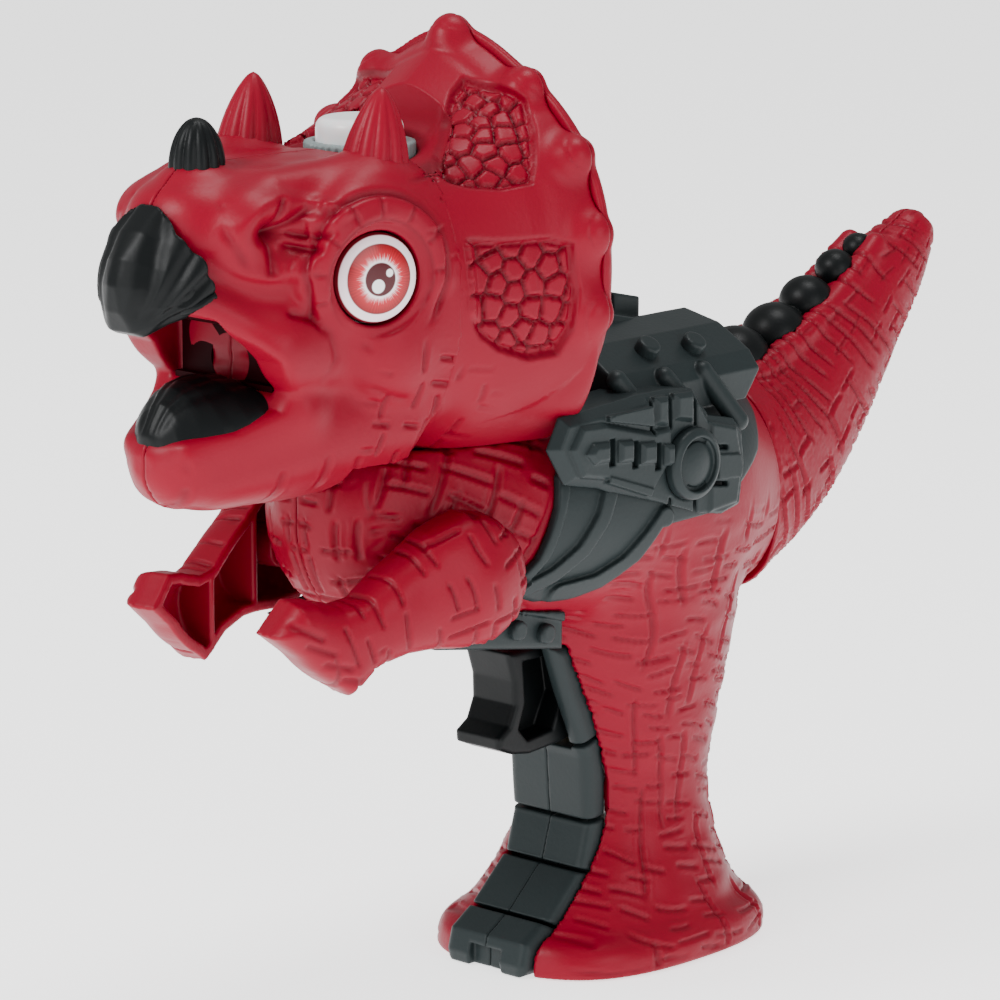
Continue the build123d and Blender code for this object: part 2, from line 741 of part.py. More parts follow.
with BuildPart() as upper_beak:
    with BuildSketch(Plane.YZ.offset(-17.0)):
        with BuildLine():
            Polyline((-145.0, 182.5), (-144.8, 208.6), (-149.0, 206.0))
            Spline((-149.0, 206.0), (-157.5, 198.0), (-160.3, 188.0), (-156.0, 175.5))
            Polyline((-156.0, 175.5), (-150.0, 180.0), (-145.0, 182.5))
        make_face()
    extrude(amount=34.0)
    with BuildSketch(Plane.XY.offset(170.0)):
        with Locations((0, -141.0)):
            Ellipse(17.0, 19.5)
    extrude(amount=42.0, mode=Mode.INTERSECT)
    add(upright_loft(HEAD_SECTIONS, 0.1), mode=Mode.SUBTRACT)
save(upper_beak, "upper_beak")

LOWER_BEAK_OUTLINE = [
    (-152.0, 149.5),
    (-149.5, 152.5),
    (-130.0, 160.2),
    (-126.5, 161.0),
    (-126.5, 157.0),
    (-148.0, 147.0),
]
with BuildPart() as lower_beak:
    with BuildSketch(Plane.YZ.offset(-19.0)):
        with BuildLine():
            Polyline(*LOWER_BEAK_OUTLINE, close=True)
        make_face()
    extrude(amount=38.0)
    with BuildSketch(Plane.XY.offset(140.0)):
        with Locations((0, -126.0)):
            Ellipse(18.5, 26.0)
    extrude(amount=30.0, mode=Mode.INTERSECT)
    add(head_shell.part, mode=Mode.SUBTRACT)
save(lower_beak, "lower_beak")


def horn(base, radius, tip_z, lean):
    """A blunt horn: a cone from a round base to a small tip."""
    with BuildPart() as body:
        with BuildSketch(Plane.XY.offset(base[2])):
            with Locations((base[0], base[1])):
                Circle(radius)
        with BuildSketch(Plane.XY.offset((base[2] + tip_z) / 2)):
            with Locations((base[0], base[1] + lean / 2)):
                Circle(radius * 0.62)
        with BuildSketch(Plane.XY.offset(tip_z)):
            with Locations((base[0], base[1] + lean)):
                Circle(1.3)
        loft(ruled=True)
    return body.part


with BuildPart() as nose_horn:
    add(horn(NOSE_HORN_BASE, NOSE_HORN_RADIUS, NOSE_HORN_TIP_Z, 0.0))
    add(upright_loft(HEAD_SECTIONS, 0.1), mode=Mode.SUBTRACT)
save(nose_horn, "nose_horn")

for horn_name, horn_sign in (("brow_horn_left", 1), ("brow_horn_right", -1)):
    horn_base = (horn_sign * HORN_BASE[0], HORN_BASE[1], 200.0)
    with BuildPart() as brow_horn:
        add(horn(horn_base, HORN_RADIUS, HORN_TIP_Z, 2.6))
        add(upright_loft(HEAD_SECTIONS, 0.1), mode=Mode.SUBTRACT)
    save(brow_horn, horn_name)

# ---------------------------------------------------------------- arms


def arm_plane(side):
    """The flat inner face of an arm, pointing forward and inward."""
    turn = math.radians(ARM_TURN)
    return Plane(
        origin=(side * SHOULDER[0], SHOULDER[1], SHOULDER[2]),
        x_dir=(-side * math.sin(turn), -math.cos(turn), 0),
        z_dir=(side * math.cos(turn), -math.sin(turn), 0),
    )


# Arm outline from the shoulder pivot: forward, up.
ARM_OUTLINE = [
    (0.0, 17.0),
    (12.0, 14.0),
    (24.0, 6.0),
    (33.0, -0.5),
    (40.0, 0.8),
    (50.0, 2.5),
    (58.0, -4.5),
    (33.0, -22.0),
    (25.0, -19.0),
    (12.0, -16.5),
    (-6.0, -17.5),
    (-16.0, -12.0),
    (-19.0, -2.0),
    (-16.0, 10.0),
    (-8.0, 16.0),
]
ARM_RIBS = [12.0, 30.0]
PIVOT_RADIUS = 3.0

for arm_name, arm_sign in (("arm_left", 1), ("arm_right", -1)):
    inner_face = arm_plane(arm_sign)
    outline = [(u, v * round(inner_face.y_dir.Z)) for u, v in ARM_OUTLINE]
    with BuildPart() as arm:
        with BuildSketch(inner_face):
            with BuildLine():
                Polyline(*outline, close=True)
            make_face()
        extrude(amount=ARM_THICKNESS)
        with BuildSketch(inner_face):
            with BuildLine():
                Polyline(*outline, close=True)
            make_face()
            offset(amount=-2.2, kind=Kind.INTERSECTION, mode=Mode.REPLACE)
            with Locations(*[(u, 0) for u in ARM_RIBS]):
                Rectangle(1.6, 60.0, mode=Mode.SUBTRACT)
            with Locations((0, 0)):
                Circle(5.0, mode=Mode.SUBTRACT)
        extrude(amount=ARM_THICKNESS - 2.4, mode=Mode.SUBTRACT)
        add(rod_x(SHOULDER[1], SHOULDER[2], PIVOT_RADIUS, *sorted((arm_sign * 12.0, arm_sign * 33.0))))
    save(arm, arm_name)

# ---------------------------------------------------------------- bottle

OUTLET_Z = WELL_FLOOR_Z + 3.1  # where the hose leaves the well


def well_bore(radius, low, high):
    """A round rod on the bottle's axis."""
    return rod_z(0.0, BOTTLE_Y, radius, low, high)


with BuildPart() as bottle_well:
    add(well_bore(WELL_RADIUS, WELL_FLOOR_Z, COLLAR_Z + 1.0))
    add(well_bore(COLLAR_RADIUS, COLLAR_Z + 0.8, COLLAR_TOP_Z))
    add(well_bore(BOTTLE_RADIUS + 0.2, BOTTLE_SHOULDER_Z - 2.0, COLLAR_TOP_Z + 1.0), mode=Mode.SUBTRACT)
    add(well_bore(NECK_RADIUS + 0.1, WELL_FLOOR_Z + 2.0, BOTTLE_SHOULDER_Z), mode=Mode.SUBTRACT)
    add(rod_x(BOTTLE_Y, OUTLET_Z, 1.0, 5.0, 14.0), mode=Mode.SUBTRACT)
save(bottle_well, "bottle_well")

with BuildPart() as solution_bottle:
    add(rod_z(0.0, BOTTLE_Y, BOTTLE_RADIUS, BOTTLE_SHOULDER_Z, BOTTLE_TOP_Z))
    add(rod_z(0.0, BOTTLE_Y, NECK_RADIUS - 1.8, WELL_FLOOR_Z + 6.0, BOTTLE_SHOULDER_Z + 1.0))
    add(well_bore(BOTTLE_RADIUS - 1.2, BOTTLE_SHOULDER_Z + 1.2, BOTTLE_TOP_Z - 1.2), mode=Mode.SUBTRACT)
    add(well_bore(NECK_RADIUS - 3.0, WELL_FLOOR_Z + 4.0, BOTTLE_SHOULDER_Z + 2.0), mode=Mode.SUBTRACT)
save(solution_bottle, "solution_bottle")

with BuildPart() as bottle_cap:
    add(rod_z(0.0, BOTTLE_Y, NECK_RADIUS, WELL_FLOOR_Z + 4.2, BOTTLE_SHOULDER_Z - 0.2))
    add(rod_z(0.0, BOTTLE_Y, NECK_RADIUS - 1.75, WELL_FLOOR_Z + 5.8, BOTTLE_SHOULDER_Z), mode=Mode.SUBTRACT)
    add(rod_z(0.0, BOTTLE_Y, 1.0, WELL_FLOOR_Z, BOTTLE_SHOULDER_Z), mode=Mode.SUBTRACT)
save(bottle_cap, "bottle_cap")

# ---------------------------------------------------------------- blower

motor_rear_y = MOTOR_FRONT_Y + MOTOR_LENGTH

with BuildPart() as motor_case:
    add(rod_y(0.0, MOTOR_Z, MOTOR_RADIUS, MOTOR_FRONT_Y, motor_rear_y))
    add(rod_y(0.0, MOTOR_Z, SHAFT_RADIUS + 0.05, -110.0, -40.0), mode=Mode.SUBTRACT)
    add(rod_y(0.0, MOTOR_Z, 7.5, MOTOR_FRONT_Y + 2.0, motor_rear_y - 2.0), mode=Mode.SUBTRACT)
save(motor_case, "motor_case")

with BuildPart() as motor_rotor:
    add(rod_y(0.0, MOTOR_Z, 6.9, MOTOR_FRONT_Y + 3.5, motor_rear_y - 3.5))
    add(rod_y(0.0, MOTOR_Z, SHAFT_RADIUS, -109.0, motor_rear_y + 1.0))
save(motor_rotor, "motor_rotor")

FAN_REAR_Y = -96.5
with BuildPart() as fan_impeller:
    add(rod_y(0.0, MOTOR_Z, 4.0, FAN_FRONT_Y, FAN_REAR_Y))
    add(rod_y(0.0, MOTOR_Z, FAN_RADIUS, FAN_REAR_Y - 1.0, FAN_REAR_Y))
    with BuildSketch(Plane.XZ.offset(-FAN_REAR_Y)):
        with Locations((0, MOTOR_Z)):
            with PolarLocations(FAN_RADIUS - 5.6, 9):
                Rectangle(10.8, 1.0)
    extrude(amount=FAN_REAR_Y - FAN_FRONT_Y)
    add(rod_y(0.0, MOTOR_Z, SHAFT_RADIUS, -120.0, -80.0), mode=Mode.SUBTRACT)
save(fan_impeller, "fan_impeller")

HOUSING_FRONT_Y = -104.5
HOUSING_REAR_Y = -94.2
with BuildPart() as fan_housing:
    add(rod_y(0.0, MOTOR_Z, FAN_RADIUS + 2.3, HOUSING_FRONT_Y, HOUSING_REAR_Y))
    housing_bore = rod_y(0.0, MOTOR_Z, FAN_RADIUS + 0.8, HOUSING_FRONT_Y - 1.0, HOUSING_REAR_Y - 1.4)
    add(housing_bore, mode=Mode.SUBTRACT)
    add(rod_y(0.0, MOTOR_Z, 6.5, -110.0, -90.0), mode=Mode.SUBTRACT)
save(fan_housing, "fan_housing")

# ---------------------------------------------------------------- gears


def tooth_outline(teeth, thin):
    """Points of one involute tooth, centred on the X axis, root to root."""
    pitch_radius = GEAR_MODULE * teeth / 2
    base_radius = pitch_radius * math.cos(math.radians(20))
    tip_radius = pitch_radius + GEAR_MODULE
    root_radius = pitch_radius - 1.25 * GEAR_MODULE
    involute_at_pitch = math.tan(math.radians(20)) - math.radians(20)
    half_angle = math.pi / (2 * teeth) - thin / (2 * pitch_radius) + involute_at_pitch
    flank = [(root_radius, half_angle)]
    steps = 4
    start_radius = max(base_radius, root_radius + 0.01)
    for step in range(steps + 1):
        radius = start_radius + (tip_radius - start_radius) * step / steps
        pressure = math.acos(min(1.0, base_radius / radius))
        flank.append((radius, half_angle - (math.tan(pressure) - pressure)))
    return flank


def gear(teeth, place, front_y, rear_y, phase, bore):
    """A spur gear on an axis along Y; phase turns its first tooth from +X, in radians."""
    flank = tooth_outline(teeth, BACKLASH)
    points = []
    for number in range(teeth):
        middle = phase + number * 2 * math.pi / teeth
        points += [(radius, middle - angle) for radius, angle in flank]
        points += [(radius, middle + angle) for radius, angle in reversed(flank)]
    outline = [(radius * math.cos(angle), radius * math.sin(angle)) for radius, angle in points]
    with BuildPart() as body:
        with BuildSketch(Plane.XZ.offset(-rear_y)):
            with BuildLine():
                Polyline(*[(place[0] + x, place[1] + z) for x, z in outline], close=True)
            make_face()
            with Locations(place):
                Circle(bore, mode=Mode.SUBTRACT)
        extrude(amount=rear_y - front_y)
    return body.part


CENTRE_DISTANCE = GEAR_MODULE * (PINION_TEETH + WHEEL_TEETH) / 2
gear_rise = (RING_Z - MOTOR_Z) / 2
IDLER_PLACE = (math.sqrt(CENTRE_DISTANCE**2 - gear_rise**2), MOTOR_Z + gear_rise)
from_motor = math.atan2(gear_rise, IDLER_PLACE[0])
from_output = math.atan2(-gear_rise, IDLER_PLACE[0])
half_wheel_tooth = math.pi / WHEEL_TEETH
IDLER_SHAFT_RADIUS = 1.2
OUTPUT_SHAFT_RADIUS = 1.5
LAYER_A = (-109.0, -107.0)
LAYER_B = (-112.2, -109.6)

with BuildPart() as drive_pinion:
    add(gear(PINION_TEETH, (0.0, MOTOR_Z), LAYER_A[0], LAYER_A[1], from_motor, SHAFT_RADIUS))
save(drive_pinion, "drive_pinion")

with BuildPart() as idler_gear:
    add(
        gear(
            WHEEL_TEETH,
            IDLER_PLACE,
            LAYER_A[0],
            LAYER_A[1],
            from_motor + math.pi + half_wheel_tooth,
            IDLER_SHAFT_RADIUS,
        )
    )
    add(gear(PINION_TEETH, IDLER_PLACE, LAYER_B[0], LAYER_A[0], from_output + math.pi, IDLER_SHAFT_RADIUS))
save(idler_gear, "idler_gear")

with BuildPart() as output_gear:
    add(
        gear(
            WHEEL_TEETH,
            (0.0, RING_Z),
            LAYER_B[0],
            LAYER_B[1],
            from_output + half_wheel_tooth,
            OUTPUT_SHAFT_RADIUS,
        )
    )
save(output_gear, "output_gear")

PLATE_REAR_Y = (-106.4, -105.0)
PLATE_FRONT_Y = (-114.4, -113.0)

with BuildPart() as idler_shaft:
    add(rod_y(IDLER_PLACE[0], IDLER_PLACE[1], IDLER_SHAFT_RADIUS, PLATE_FRONT_Y[0], PLATE_REAR_Y[1]))
save(idler_shaft, "idler_shaft")

with BuildPart() as wiper_shaft:
    add(rod_y(0.0, RING_Z, OUTPUT_SHAFT_RADIUS, -122.6, -106.8))
save(wiper_shaft, "wiper_shaft")


def gear_plate(y_range):
    """A bearing plate of the gearbox, drilled for the three shafts."""
    with BuildPart() as plate:
        with BuildSketch(Plane.XZ.offset(-y_range[1])):
            with Locations((4.0, 161.5)):
                RectangleRounded(33.0, 24.0, 4.0)
            with Locations(IDLER_PLACE):
                Circle(IDLER_SHAFT_RADIUS + 0.05, mode=Mode.SUBTRACT)
            with Locations((0.0, RING_Z)):
                Circle(OUTPUT_SHAFT_RADIUS + 0.05, mode=Mode.SUBTRACT)
            with Locations((0.0, MOTOR_Z)):
                Circle(SHAFT_RADIUS + 1.0, mode=Mode.SUBTRACT)
            with Locations((-5.0, 153.5), (8.0, 171.0)):
                Circle(2.0, mode=Mode.SUBTRACT)
        extrude(amount=y_range[1] - y_range[0])
    return plate.part


with BuildPart() as gearbox_rear:
    add(gear_plate(PLATE_REAR_Y))
save(gearbox_rear, "gearbox_rear")

with BuildPart() as gearbox_front:
    add(gear_plate(PLATE_FRONT_Y))
    for post_x, post_z in ((-10.5, 171.5), (-10.5, 151.5), (18.5, 172.0), (18.5, 151.0)):
        add(rod_y(post_x, post_z, 1.2, PLATE_FRONT_Y[1], PLATE_REAR_Y[0]))
save(gearbox_front, "gearbox_front")

# ---------------------------------------------------------------- mouth

with BuildPart() as bubble_ring:
    with BuildSketch(Plane.XZ.offset(115.4)):
        with Locations((0.0, RING_Z)):
            Circle(RING_RADIUS)
            Circle(RING_RADIUS - 2.2, mode=Mode.SUBTRACT)
            Circle(3.0)
            with PolarLocations(RING_RADIUS / 2 + 0.5, 3):
                Rectangle(7.0, 1.4)
            Circle(OUTPUT_SHAFT_RADIUS + 0.05, mode=Mode.SUBTRACT)
    extrude(amount=4.0)
save(bubble_ring, "bubble_ring")

with BuildPart() as wiper:
    with BuildSketch(Plane.XZ.offset(120.2)):
        with Locations((0.0, RING_Z)):
            Circle(2.6)
            Rectangle(17.0, 2.0)
            Circle(OUTPUT_SHAFT_RADIUS, mode=Mode.SUBTRACT)
    extrude(amount=1.4)
save(wiper, "wiper")

LINER_OUTLINE = [
    (-144.0, 181.5),
    (-127.0, 175.2),
    (-122.0, 175.2),
    (-122.0, 157.8),
    (-125.8, 157.8),
    (-125.8, 160.9),
    (-123.6, 160.9),
    (-123.6, 173.6),
    (-127.4, 173.6),
    (-144.0, 179.8),
]
with BuildPart() as mouth_liner:
    add(side_prism(LINER_OUTLINE, -16.0, 16.0))
    add(rod_y(0.0, RING_Z, 6.2, -130.0, -115.0), mode=Mode.SUBTRACT)
    add(head_shell.part, mode=Mode.SUBTRACT)
    add(lower_beak.part, mode=Mode.SUBTRACT)
save(mouth_liner, "mouth_liner")

# ---------------------------------------------------------------- electrics

with BuildPart() as circuit_board:
    add(block((-4.0, -34.0, 102.0), (-2.4, 6.0, 128.0)))
    add(block((-2.4, -24.0, 110.0), (0.2, -14.0, 120.0)))
    add(block((-2.4, -8.0, 106.0), (1.6, -2.0, 112.0)))
save(circuit_board, "circuit_board")

with BuildPart() as speaker:
    add(rod_x(14.0, 112.0, 13.0, 18.0, 20.0))
    add(rod_x(14.0, 112.0, 11.0, 20.0, 21.5))
    add(rod_x(14.0, 112.0, 7.0, 15.0, 18.0))
save(speaker, "speaker")

LAMP_PLACE = (-7.0, 178.8)

with BuildPart() as mouth_lamp:
    add(rod_y(LAMP_PLACE[0], LAMP_PLACE[1], 1.5, -118.0, -113.0))
save(mouth_lamp, "mouth_lamp")

WIRE_RADIUS = 0.6
MOTOR_WIRE = [
    (-3.2, -34.2, 125.0),
    (-3.2, -42.0, 125.0),
    (-5.0, -60.0, 140.0),
    (-5.0, -64.0, 152.0),
    (-5.0, -68.3, 153.0),
]
LAMP_WIRE = [
    (-3.2, -34.2, 112.0),
    (-3.2, -46.0, 114.0),
    (-20.0, -86.0, 143.0),
    (-20.5, -104.0, 160.0),
    (-16.0, -109.0, 177.0),
    (-7.0, -109.5, 178.8),
    (-7.0, -112.9, 178.8),
]
CELL_WIRE = [
    (-8.0, 10.5, 56.6),
    (-14.0, 12.0, 60.0),
    (-15.0, 11.0, 82.0),
    (-3.2, -8.0, 93.0),
    (-3.2, -8.0, 101.9),
]
WIRES = [(MOTOR_WIRE, 1.6), (LAMP_WIRE, 1.5), (CELL_WIRE, 3.0)]

with BuildPart() as wiring:
    for route, bend in WIRES:
        with BuildLine() as path:
            FilletPolyline(*route, radius=bend)
        with BuildSketch(Plane(origin=path.line @ 0, z_dir=path.line % 0)):
            Circle(WIRE_RADIUS)
        sweep(path=path.line)
save(wiring, "wiring")

HOSE_ROUTE = [
    (WELL_RADIUS + 0.1, BOTTLE_Y, OUTLET_Z),
    (17.0, BOTTLE_Y, OUTLET_Z),
    (16.5, -98.0, 173.0),
    (12.0, -110.0, 179.5),
    (0.0, -117.4, 182.0),
    (0.0, -117.4, 175.6),
]
HOSE_RADIUS = 1.2

with BuildPart() as feed_hose:
    with BuildLine() as hose_path:
        FilletPolyline(*HOSE_ROUTE, radius=1.9)
    with BuildSketch(Plane(origin=hose_path.line @ 0, z_dir=hose_path.line % 0)):
        Circle(HOSE_RADIUS)
    sweep(path=hose_path.line)
save(feed_hose, "feed_hose")

with BuildPart() as door_screw:
    add(rod_y(0.0, DOOR_SCREW_Z, 1.4, 27.0, 34.0))
    add(rod_y(0.0, DOOR_SCREW_Z, 2.4, 34.0, 35.2))
save(door_screw, "door_screw")

with BuildPart() as side_plate_right:
    mirror(side_plate_left.part, about=Plane.YZ)
save(side_plate_right, "side_plate_right")
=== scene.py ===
import json
import math
from itertools import product
import bpy
import numpy as np
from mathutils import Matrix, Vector
from mathutils.kdtree import KDTree


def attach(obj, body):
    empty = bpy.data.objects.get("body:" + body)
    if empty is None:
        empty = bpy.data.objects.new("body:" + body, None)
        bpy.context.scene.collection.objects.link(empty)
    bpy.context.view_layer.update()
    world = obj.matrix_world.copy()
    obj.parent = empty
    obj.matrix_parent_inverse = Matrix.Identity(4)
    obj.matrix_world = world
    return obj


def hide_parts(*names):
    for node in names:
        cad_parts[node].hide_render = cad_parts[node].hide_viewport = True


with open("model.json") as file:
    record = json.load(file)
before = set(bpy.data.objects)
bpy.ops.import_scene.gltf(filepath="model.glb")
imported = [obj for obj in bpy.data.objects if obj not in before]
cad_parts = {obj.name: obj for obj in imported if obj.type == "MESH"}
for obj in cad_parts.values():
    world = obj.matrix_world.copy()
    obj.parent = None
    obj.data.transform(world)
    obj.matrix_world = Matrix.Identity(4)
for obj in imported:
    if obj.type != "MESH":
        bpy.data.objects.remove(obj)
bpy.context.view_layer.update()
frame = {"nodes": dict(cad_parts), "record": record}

MM = 0.001
COARSE = 1.0

# --- camera

CAMERA_AIM = Vector((0, -0.033, 0.118))
CAMERA_DISTANCE = 1.2195
azimuth, elevation = math.radians(43), math.radians(12)
back = Vector((
    math.sin(azimuth) * math.cos(elevation),
    -math.cos(azimuth) * math.cos(elevation),
    math.sin(elevation),
))
camera_data = bpy.data.cameras.new("camera")
camera_data.lens = 180
camera_data.sensor_width = 36
camera_data.clip_start = 0.05
camera = bpy.data.objects.new("camera", camera_data)
bpy.context.scene.collection.objects.link(camera)
camera.location = CAMERA_AIM + back * CAMERA_DISTANCE
camera.rotation_mode = "QUATERNION"
camera.rotation_quaternion = (-back).to_track_quat("-Z", "Y")
bpy.context.scene.camera = camera

# --- distance fields, in millimetres


def smin(a, b, k):
    h = np.clip(0.5 + 0.5 * (b - a) / k, 0, 1)
    return b * (1 - h) + a * h - k * h * (1 - h)


def smax(a, b, k):
    return -smin(-a, -b, k)


def ramp(x, low, high):
    t = np.clip((x - low) / (high - low), 0, 1)
    return t * t * (3 - 2 * t)


def ridge(x, width):
    return np.exp(-((x / width) ** 2))


def smooth_table(rows, count=240):
    """Section values along their first column, eased with cubic pieces."""
    rows = np.array(rows, float)
    s, values = rows[:, 0], rows[:, 1:]
    slopes = np.gradient(values, s, axis=0)
    t = np.linspace(s[0], s[-1], count)
    k = np.clip(np.searchsorted(s, t) - 1, 0, len(s) - 2)
    h = (s[k + 1] - s[k])[:, None]
    u = (t[:, None] - s[k][:, None]) / h
    a, b, ma, mb = values[k], values[k + 1], slopes[k] * h, slopes[k + 1] * h
    ends = (2 * u**3 - 3 * u**2 + 1) * a + (u**3 - 2 * u**2 + u) * ma
    return t, ends + (3 * u**2 - 2 * u**3) * b + (u**3 - u**2) * mb


def super_distance(x, z, w, h, power):
    """Near distance to a rounded-square oval with half sizes w and h."""
    a, b = np.abs(x) / w, np.abs(z) / h
    q = np.maximum((a**power + b**power) ** (1 / power), 1e-3)
    g = q ** (1 - power) * np.sqrt((a ** (power - 1) / w) ** 2 + (b ** (power - 1) / h) ** 2)
    return (q - 1) / np.maximum(g, 0.6 / np.maximum(w, h))


def loft(rows, power, level=False, ends=(4, 4)):
    t, v = smooth_table(rows)

    def field(p):
        s, across = (p[:, 2], p[:, 1]) if level else (p[:, 1], p[:, 2])
        w, low, high = (np.interp(s, t, v[:, i]) for i in range(3))
        d = super_distance(p[:, 0], across - (low + high) / 2, w, (high - low) / 2, power)
        return smax(smax(d, t[0] - s, ends[0]), s - t[-1], ends[1])

    return field


def ball(p, centre, radius):
    return np.linalg.norm(p - np.array(centre, float), axis=1) - radius


def oval(p, centre, radii):
    r = np.array(radii, float)
    q = (p - np.array(centre, float)) / r
    k0 = np.linalg.norm(q, axis=1)
    k1 = np.linalg.norm(q / r, axis=1)
    return k0 * (k0 - 1) / np.maximum(k1, 1e-6)


def cone(p, a, b, ra, rb):
    a, b = np.array(a, float), np.array(b, float)
    axis = b - a
    t = np.clip((p - a) @ axis / (axis @ axis), 0, 1)
    return np.linalg.norm(p - a - t[:, None] * axis, axis=1) - (ra + (rb - ra) * t)


def outline(u, v, points):
    """Signed distance in a plane to a closed outline."""
    pts = np.array(points, float)
    near = np.full(len(u), 1e18)
    inside = np.zeros(len(u), bool)
    for (ax, ay), (bx, by) in zip(pts, np.roll(pts, -1, 0)):
        ex, ey, wx, wy = bx - ax, by - ay, u - ax, v - ay
        t = np.clip((wx * ex + wy * ey) / max(ex * ex + ey * ey, 1e-9), 0, 1)
        near = np.minimum(near, (wx - t * ex) ** 2 + (wy - t * ey) ** 2)
        if abs(ey) > 1e-9:
            inside ^= ((ay <= v) != (by <= v)) & (ax + wy / ey * ex > u)
    return np.where(inside, -1, 1) * np.sqrt(near)


def slab(p, points, half, k):
    """A side outline made into a plate of this half thickness."""
    return smax(outline(p[:, 1], p[:, 2], points), np.abs(p[:, 0]) - half, k)


def line_distance(u, v, points):
    """Distance in a plane to an open line."""
    near = np.full(len(u), 1e18)
    for (ax, ay), (bx, by) in zip(points[:-1], points[1:]):
        ex, ey, wx, wy = bx - ax, by - ay, u - ax, v - ay
        t = np.clip((wx * ex + wy * ey) / (ex * ex + ey * ey), 0, 1)
        near = np.minimum(near, (wx - t * ex) ** 2 + (wy - t * ey) ** 2)
    return np.sqrt(near)


def path_distance(p, points):
    """Distance in space to an open line."""
    near = np.full(len(p), 1e18)
    for a, b in zip(points[:-1], points[1:]):
        a, axis = np.array(a, float), np.array(b, float) - np.array(a, float)
        t = np.clip((p - a) @ axis / (axis @ axis), 0, 1)
        near = np.minimum(near, ((p - a - t[:, None] * axis) ** 2).sum(1))
    return np.sqrt(near)


def box(p, low, high):
    low, high = np.array(low, float), np.array(high, float)
    q = np.abs(p - (low + high) / 2) - (high - low) / 2
    return np.linalg.norm(np.maximum(q, 0), axis=1) + np.minimum(q.max(1), 0)


def mirrored(p):
    return np.column_stack([np.abs(p[:, 0]), p[:, 1], p[:, 2]])


def noise(p, scale, seed=0):
    """A smooth irregular value between -1 and 1."""
    q = p / scale
    x, y, z = q[:, 0] + seed * 1.7, q[:, 1] + seed * 2.9, q[:, 2] + seed * 4.3
    a = np.sin(x * 2.1 + 1.3 * np.sin(y * 1.7 + z * 0.6))
    b = np.sin(y * 2.3 + 1.1 * np.sin(z * 1.9 + x * 0.7))
    return (a + b + np.sin(z * 2.6 + 1.2 * np.sin(x * 1.5 - y * 0.8))) / 3


# --- meshes from fields

CORNERS = list(product((0, 1), repeat=3))
EDGES = [(a, b) for a, b in product(range(8), repeat=2) if a < b and (a ^ b) in (1, 2, 4)]


def in_parts(field, p, size=150000):
    return np.concatenate([field(p[i : i + size]) for i in range(0, len(p), size)])


def skin_of(field, low, high, step):
    """Vertices and quads of a field's surface, from a grid worked out only near it."""
    low, high = np.array(low, float) - 2 * step, np.array(high, float) + 2 * step
    block = 8
    blocks = np.ceil((high - low) / (step * block)).astype(int)
    n = blocks * block
    index = np.indices(blocks).reshape(3, -1).T
    centres = low + (index * block + (block - 1) / 2) * step
    d = in_parts(field, centres)
    reach = block * step * math.sqrt(3) / 2 * 1.9 + step
    grid = np.where(d < 0, -9, 9).astype(np.float32).reshape(blocks)
    for axis in range(3):
        grid = np.repeat(grid, block, axis)
    cell = np.indices((block,) * 3).reshape(3, -1).T
    live = index[np.abs(d) < reach]
    where = (live[:, None, :] * block + cell[None]).reshape(-1, 3)
    grid[tuple(where.T)] = in_parts(field, low + where * step)
    inside = grid < 0
    count = np.zeros(n - 1, np.uint8)
    for i, j, k in CORNERS:
        count += inside[i : n[0] - 1 + i, j : n[1] - 1 + j, k : n[2] - 1 + k]
    cells = np.argwhere((count > 0) & (count < 8))
    number = np.full(n - 1, -1, np.int64)
    number[tuple(cells.T)] = np.arange(len(cells))
    value = np.stack([grid[tuple((cells + c).T)] for c in CORNERS], 1)
    total, crossed = np.zeros((len(cells), 3)), np.zeros(len(cells))
    for a, b in EDGES:
        va, vb = value[:, a], value[:, b]
        cross = (va < 0) != (vb < 0)
        t = np.where(cross, va / np.where(cross, va - vb, 1), 0)[:, None]
        ca, cb = np.array(CORNERS[a]), np.array(CORNERS[b])
        total += cross[:, None] * (ca + t * (cb - ca))
        crossed += cross
    verts = low + (cells + total / crossed[:, None]) * step
    quads = []
    for axis in range(3):
        u, v = (axis + 1) % 3, (axis + 2) % 3
        first, second = ([slice(1, size - 1) for size in n] for _ in range(2))
        first[axis], second[axis] = slice(0, n[axis] - 1), slice(1, n[axis])
        first, second = inside[tuple(first)], inside[tuple(second)]
        at = np.argwhere(first != second)
        start = first[tuple(at.T)]
        ring = []
        for du, dv in ((0, 0), (1, 0), (1, 1), (0, 1)):
            c = at.copy()
            c[:, u] += du
            c[:, v] += dv
            ring.append(number[tuple(c.T)])
        ring = np.stack(ring, 1)
        quads.append(np.where(start[:, None], ring, ring[:, ::-1]))
    quads = np.concatenate(quads)
    return verts, quads[(quads >= 0).all(1)]


def gradient(field, p, h=0.25):
    g = np.zeros_like(p)
    for axis in range(3):
        move = np.zeros(3)
        move[axis] = h
        g[:, axis] = (in_parts(field, p + move) - in_parts(field, p - move)) / (2 * h)
    return g


def relaxed(verts, quads, rounds):
    for _ in range(rounds):
        total, count = np.zeros_like(verts), np.zeros(len(verts))
        for a, b in ((0, 1), (1, 2), (2, 3), (3, 0)):
            for i, j in ((a, b), (b, a)):
                for axis in range(3):
                    total[:, axis] += np.bincount(quads[:, i], verts[quads[:, j], axis], len(verts))
                count += np.bincount(quads[:, i], minlength=len(verts))
        verts = verts * 0.4 + 0.6 * total / np.maximum(count, 1)[:, None]
    return verts


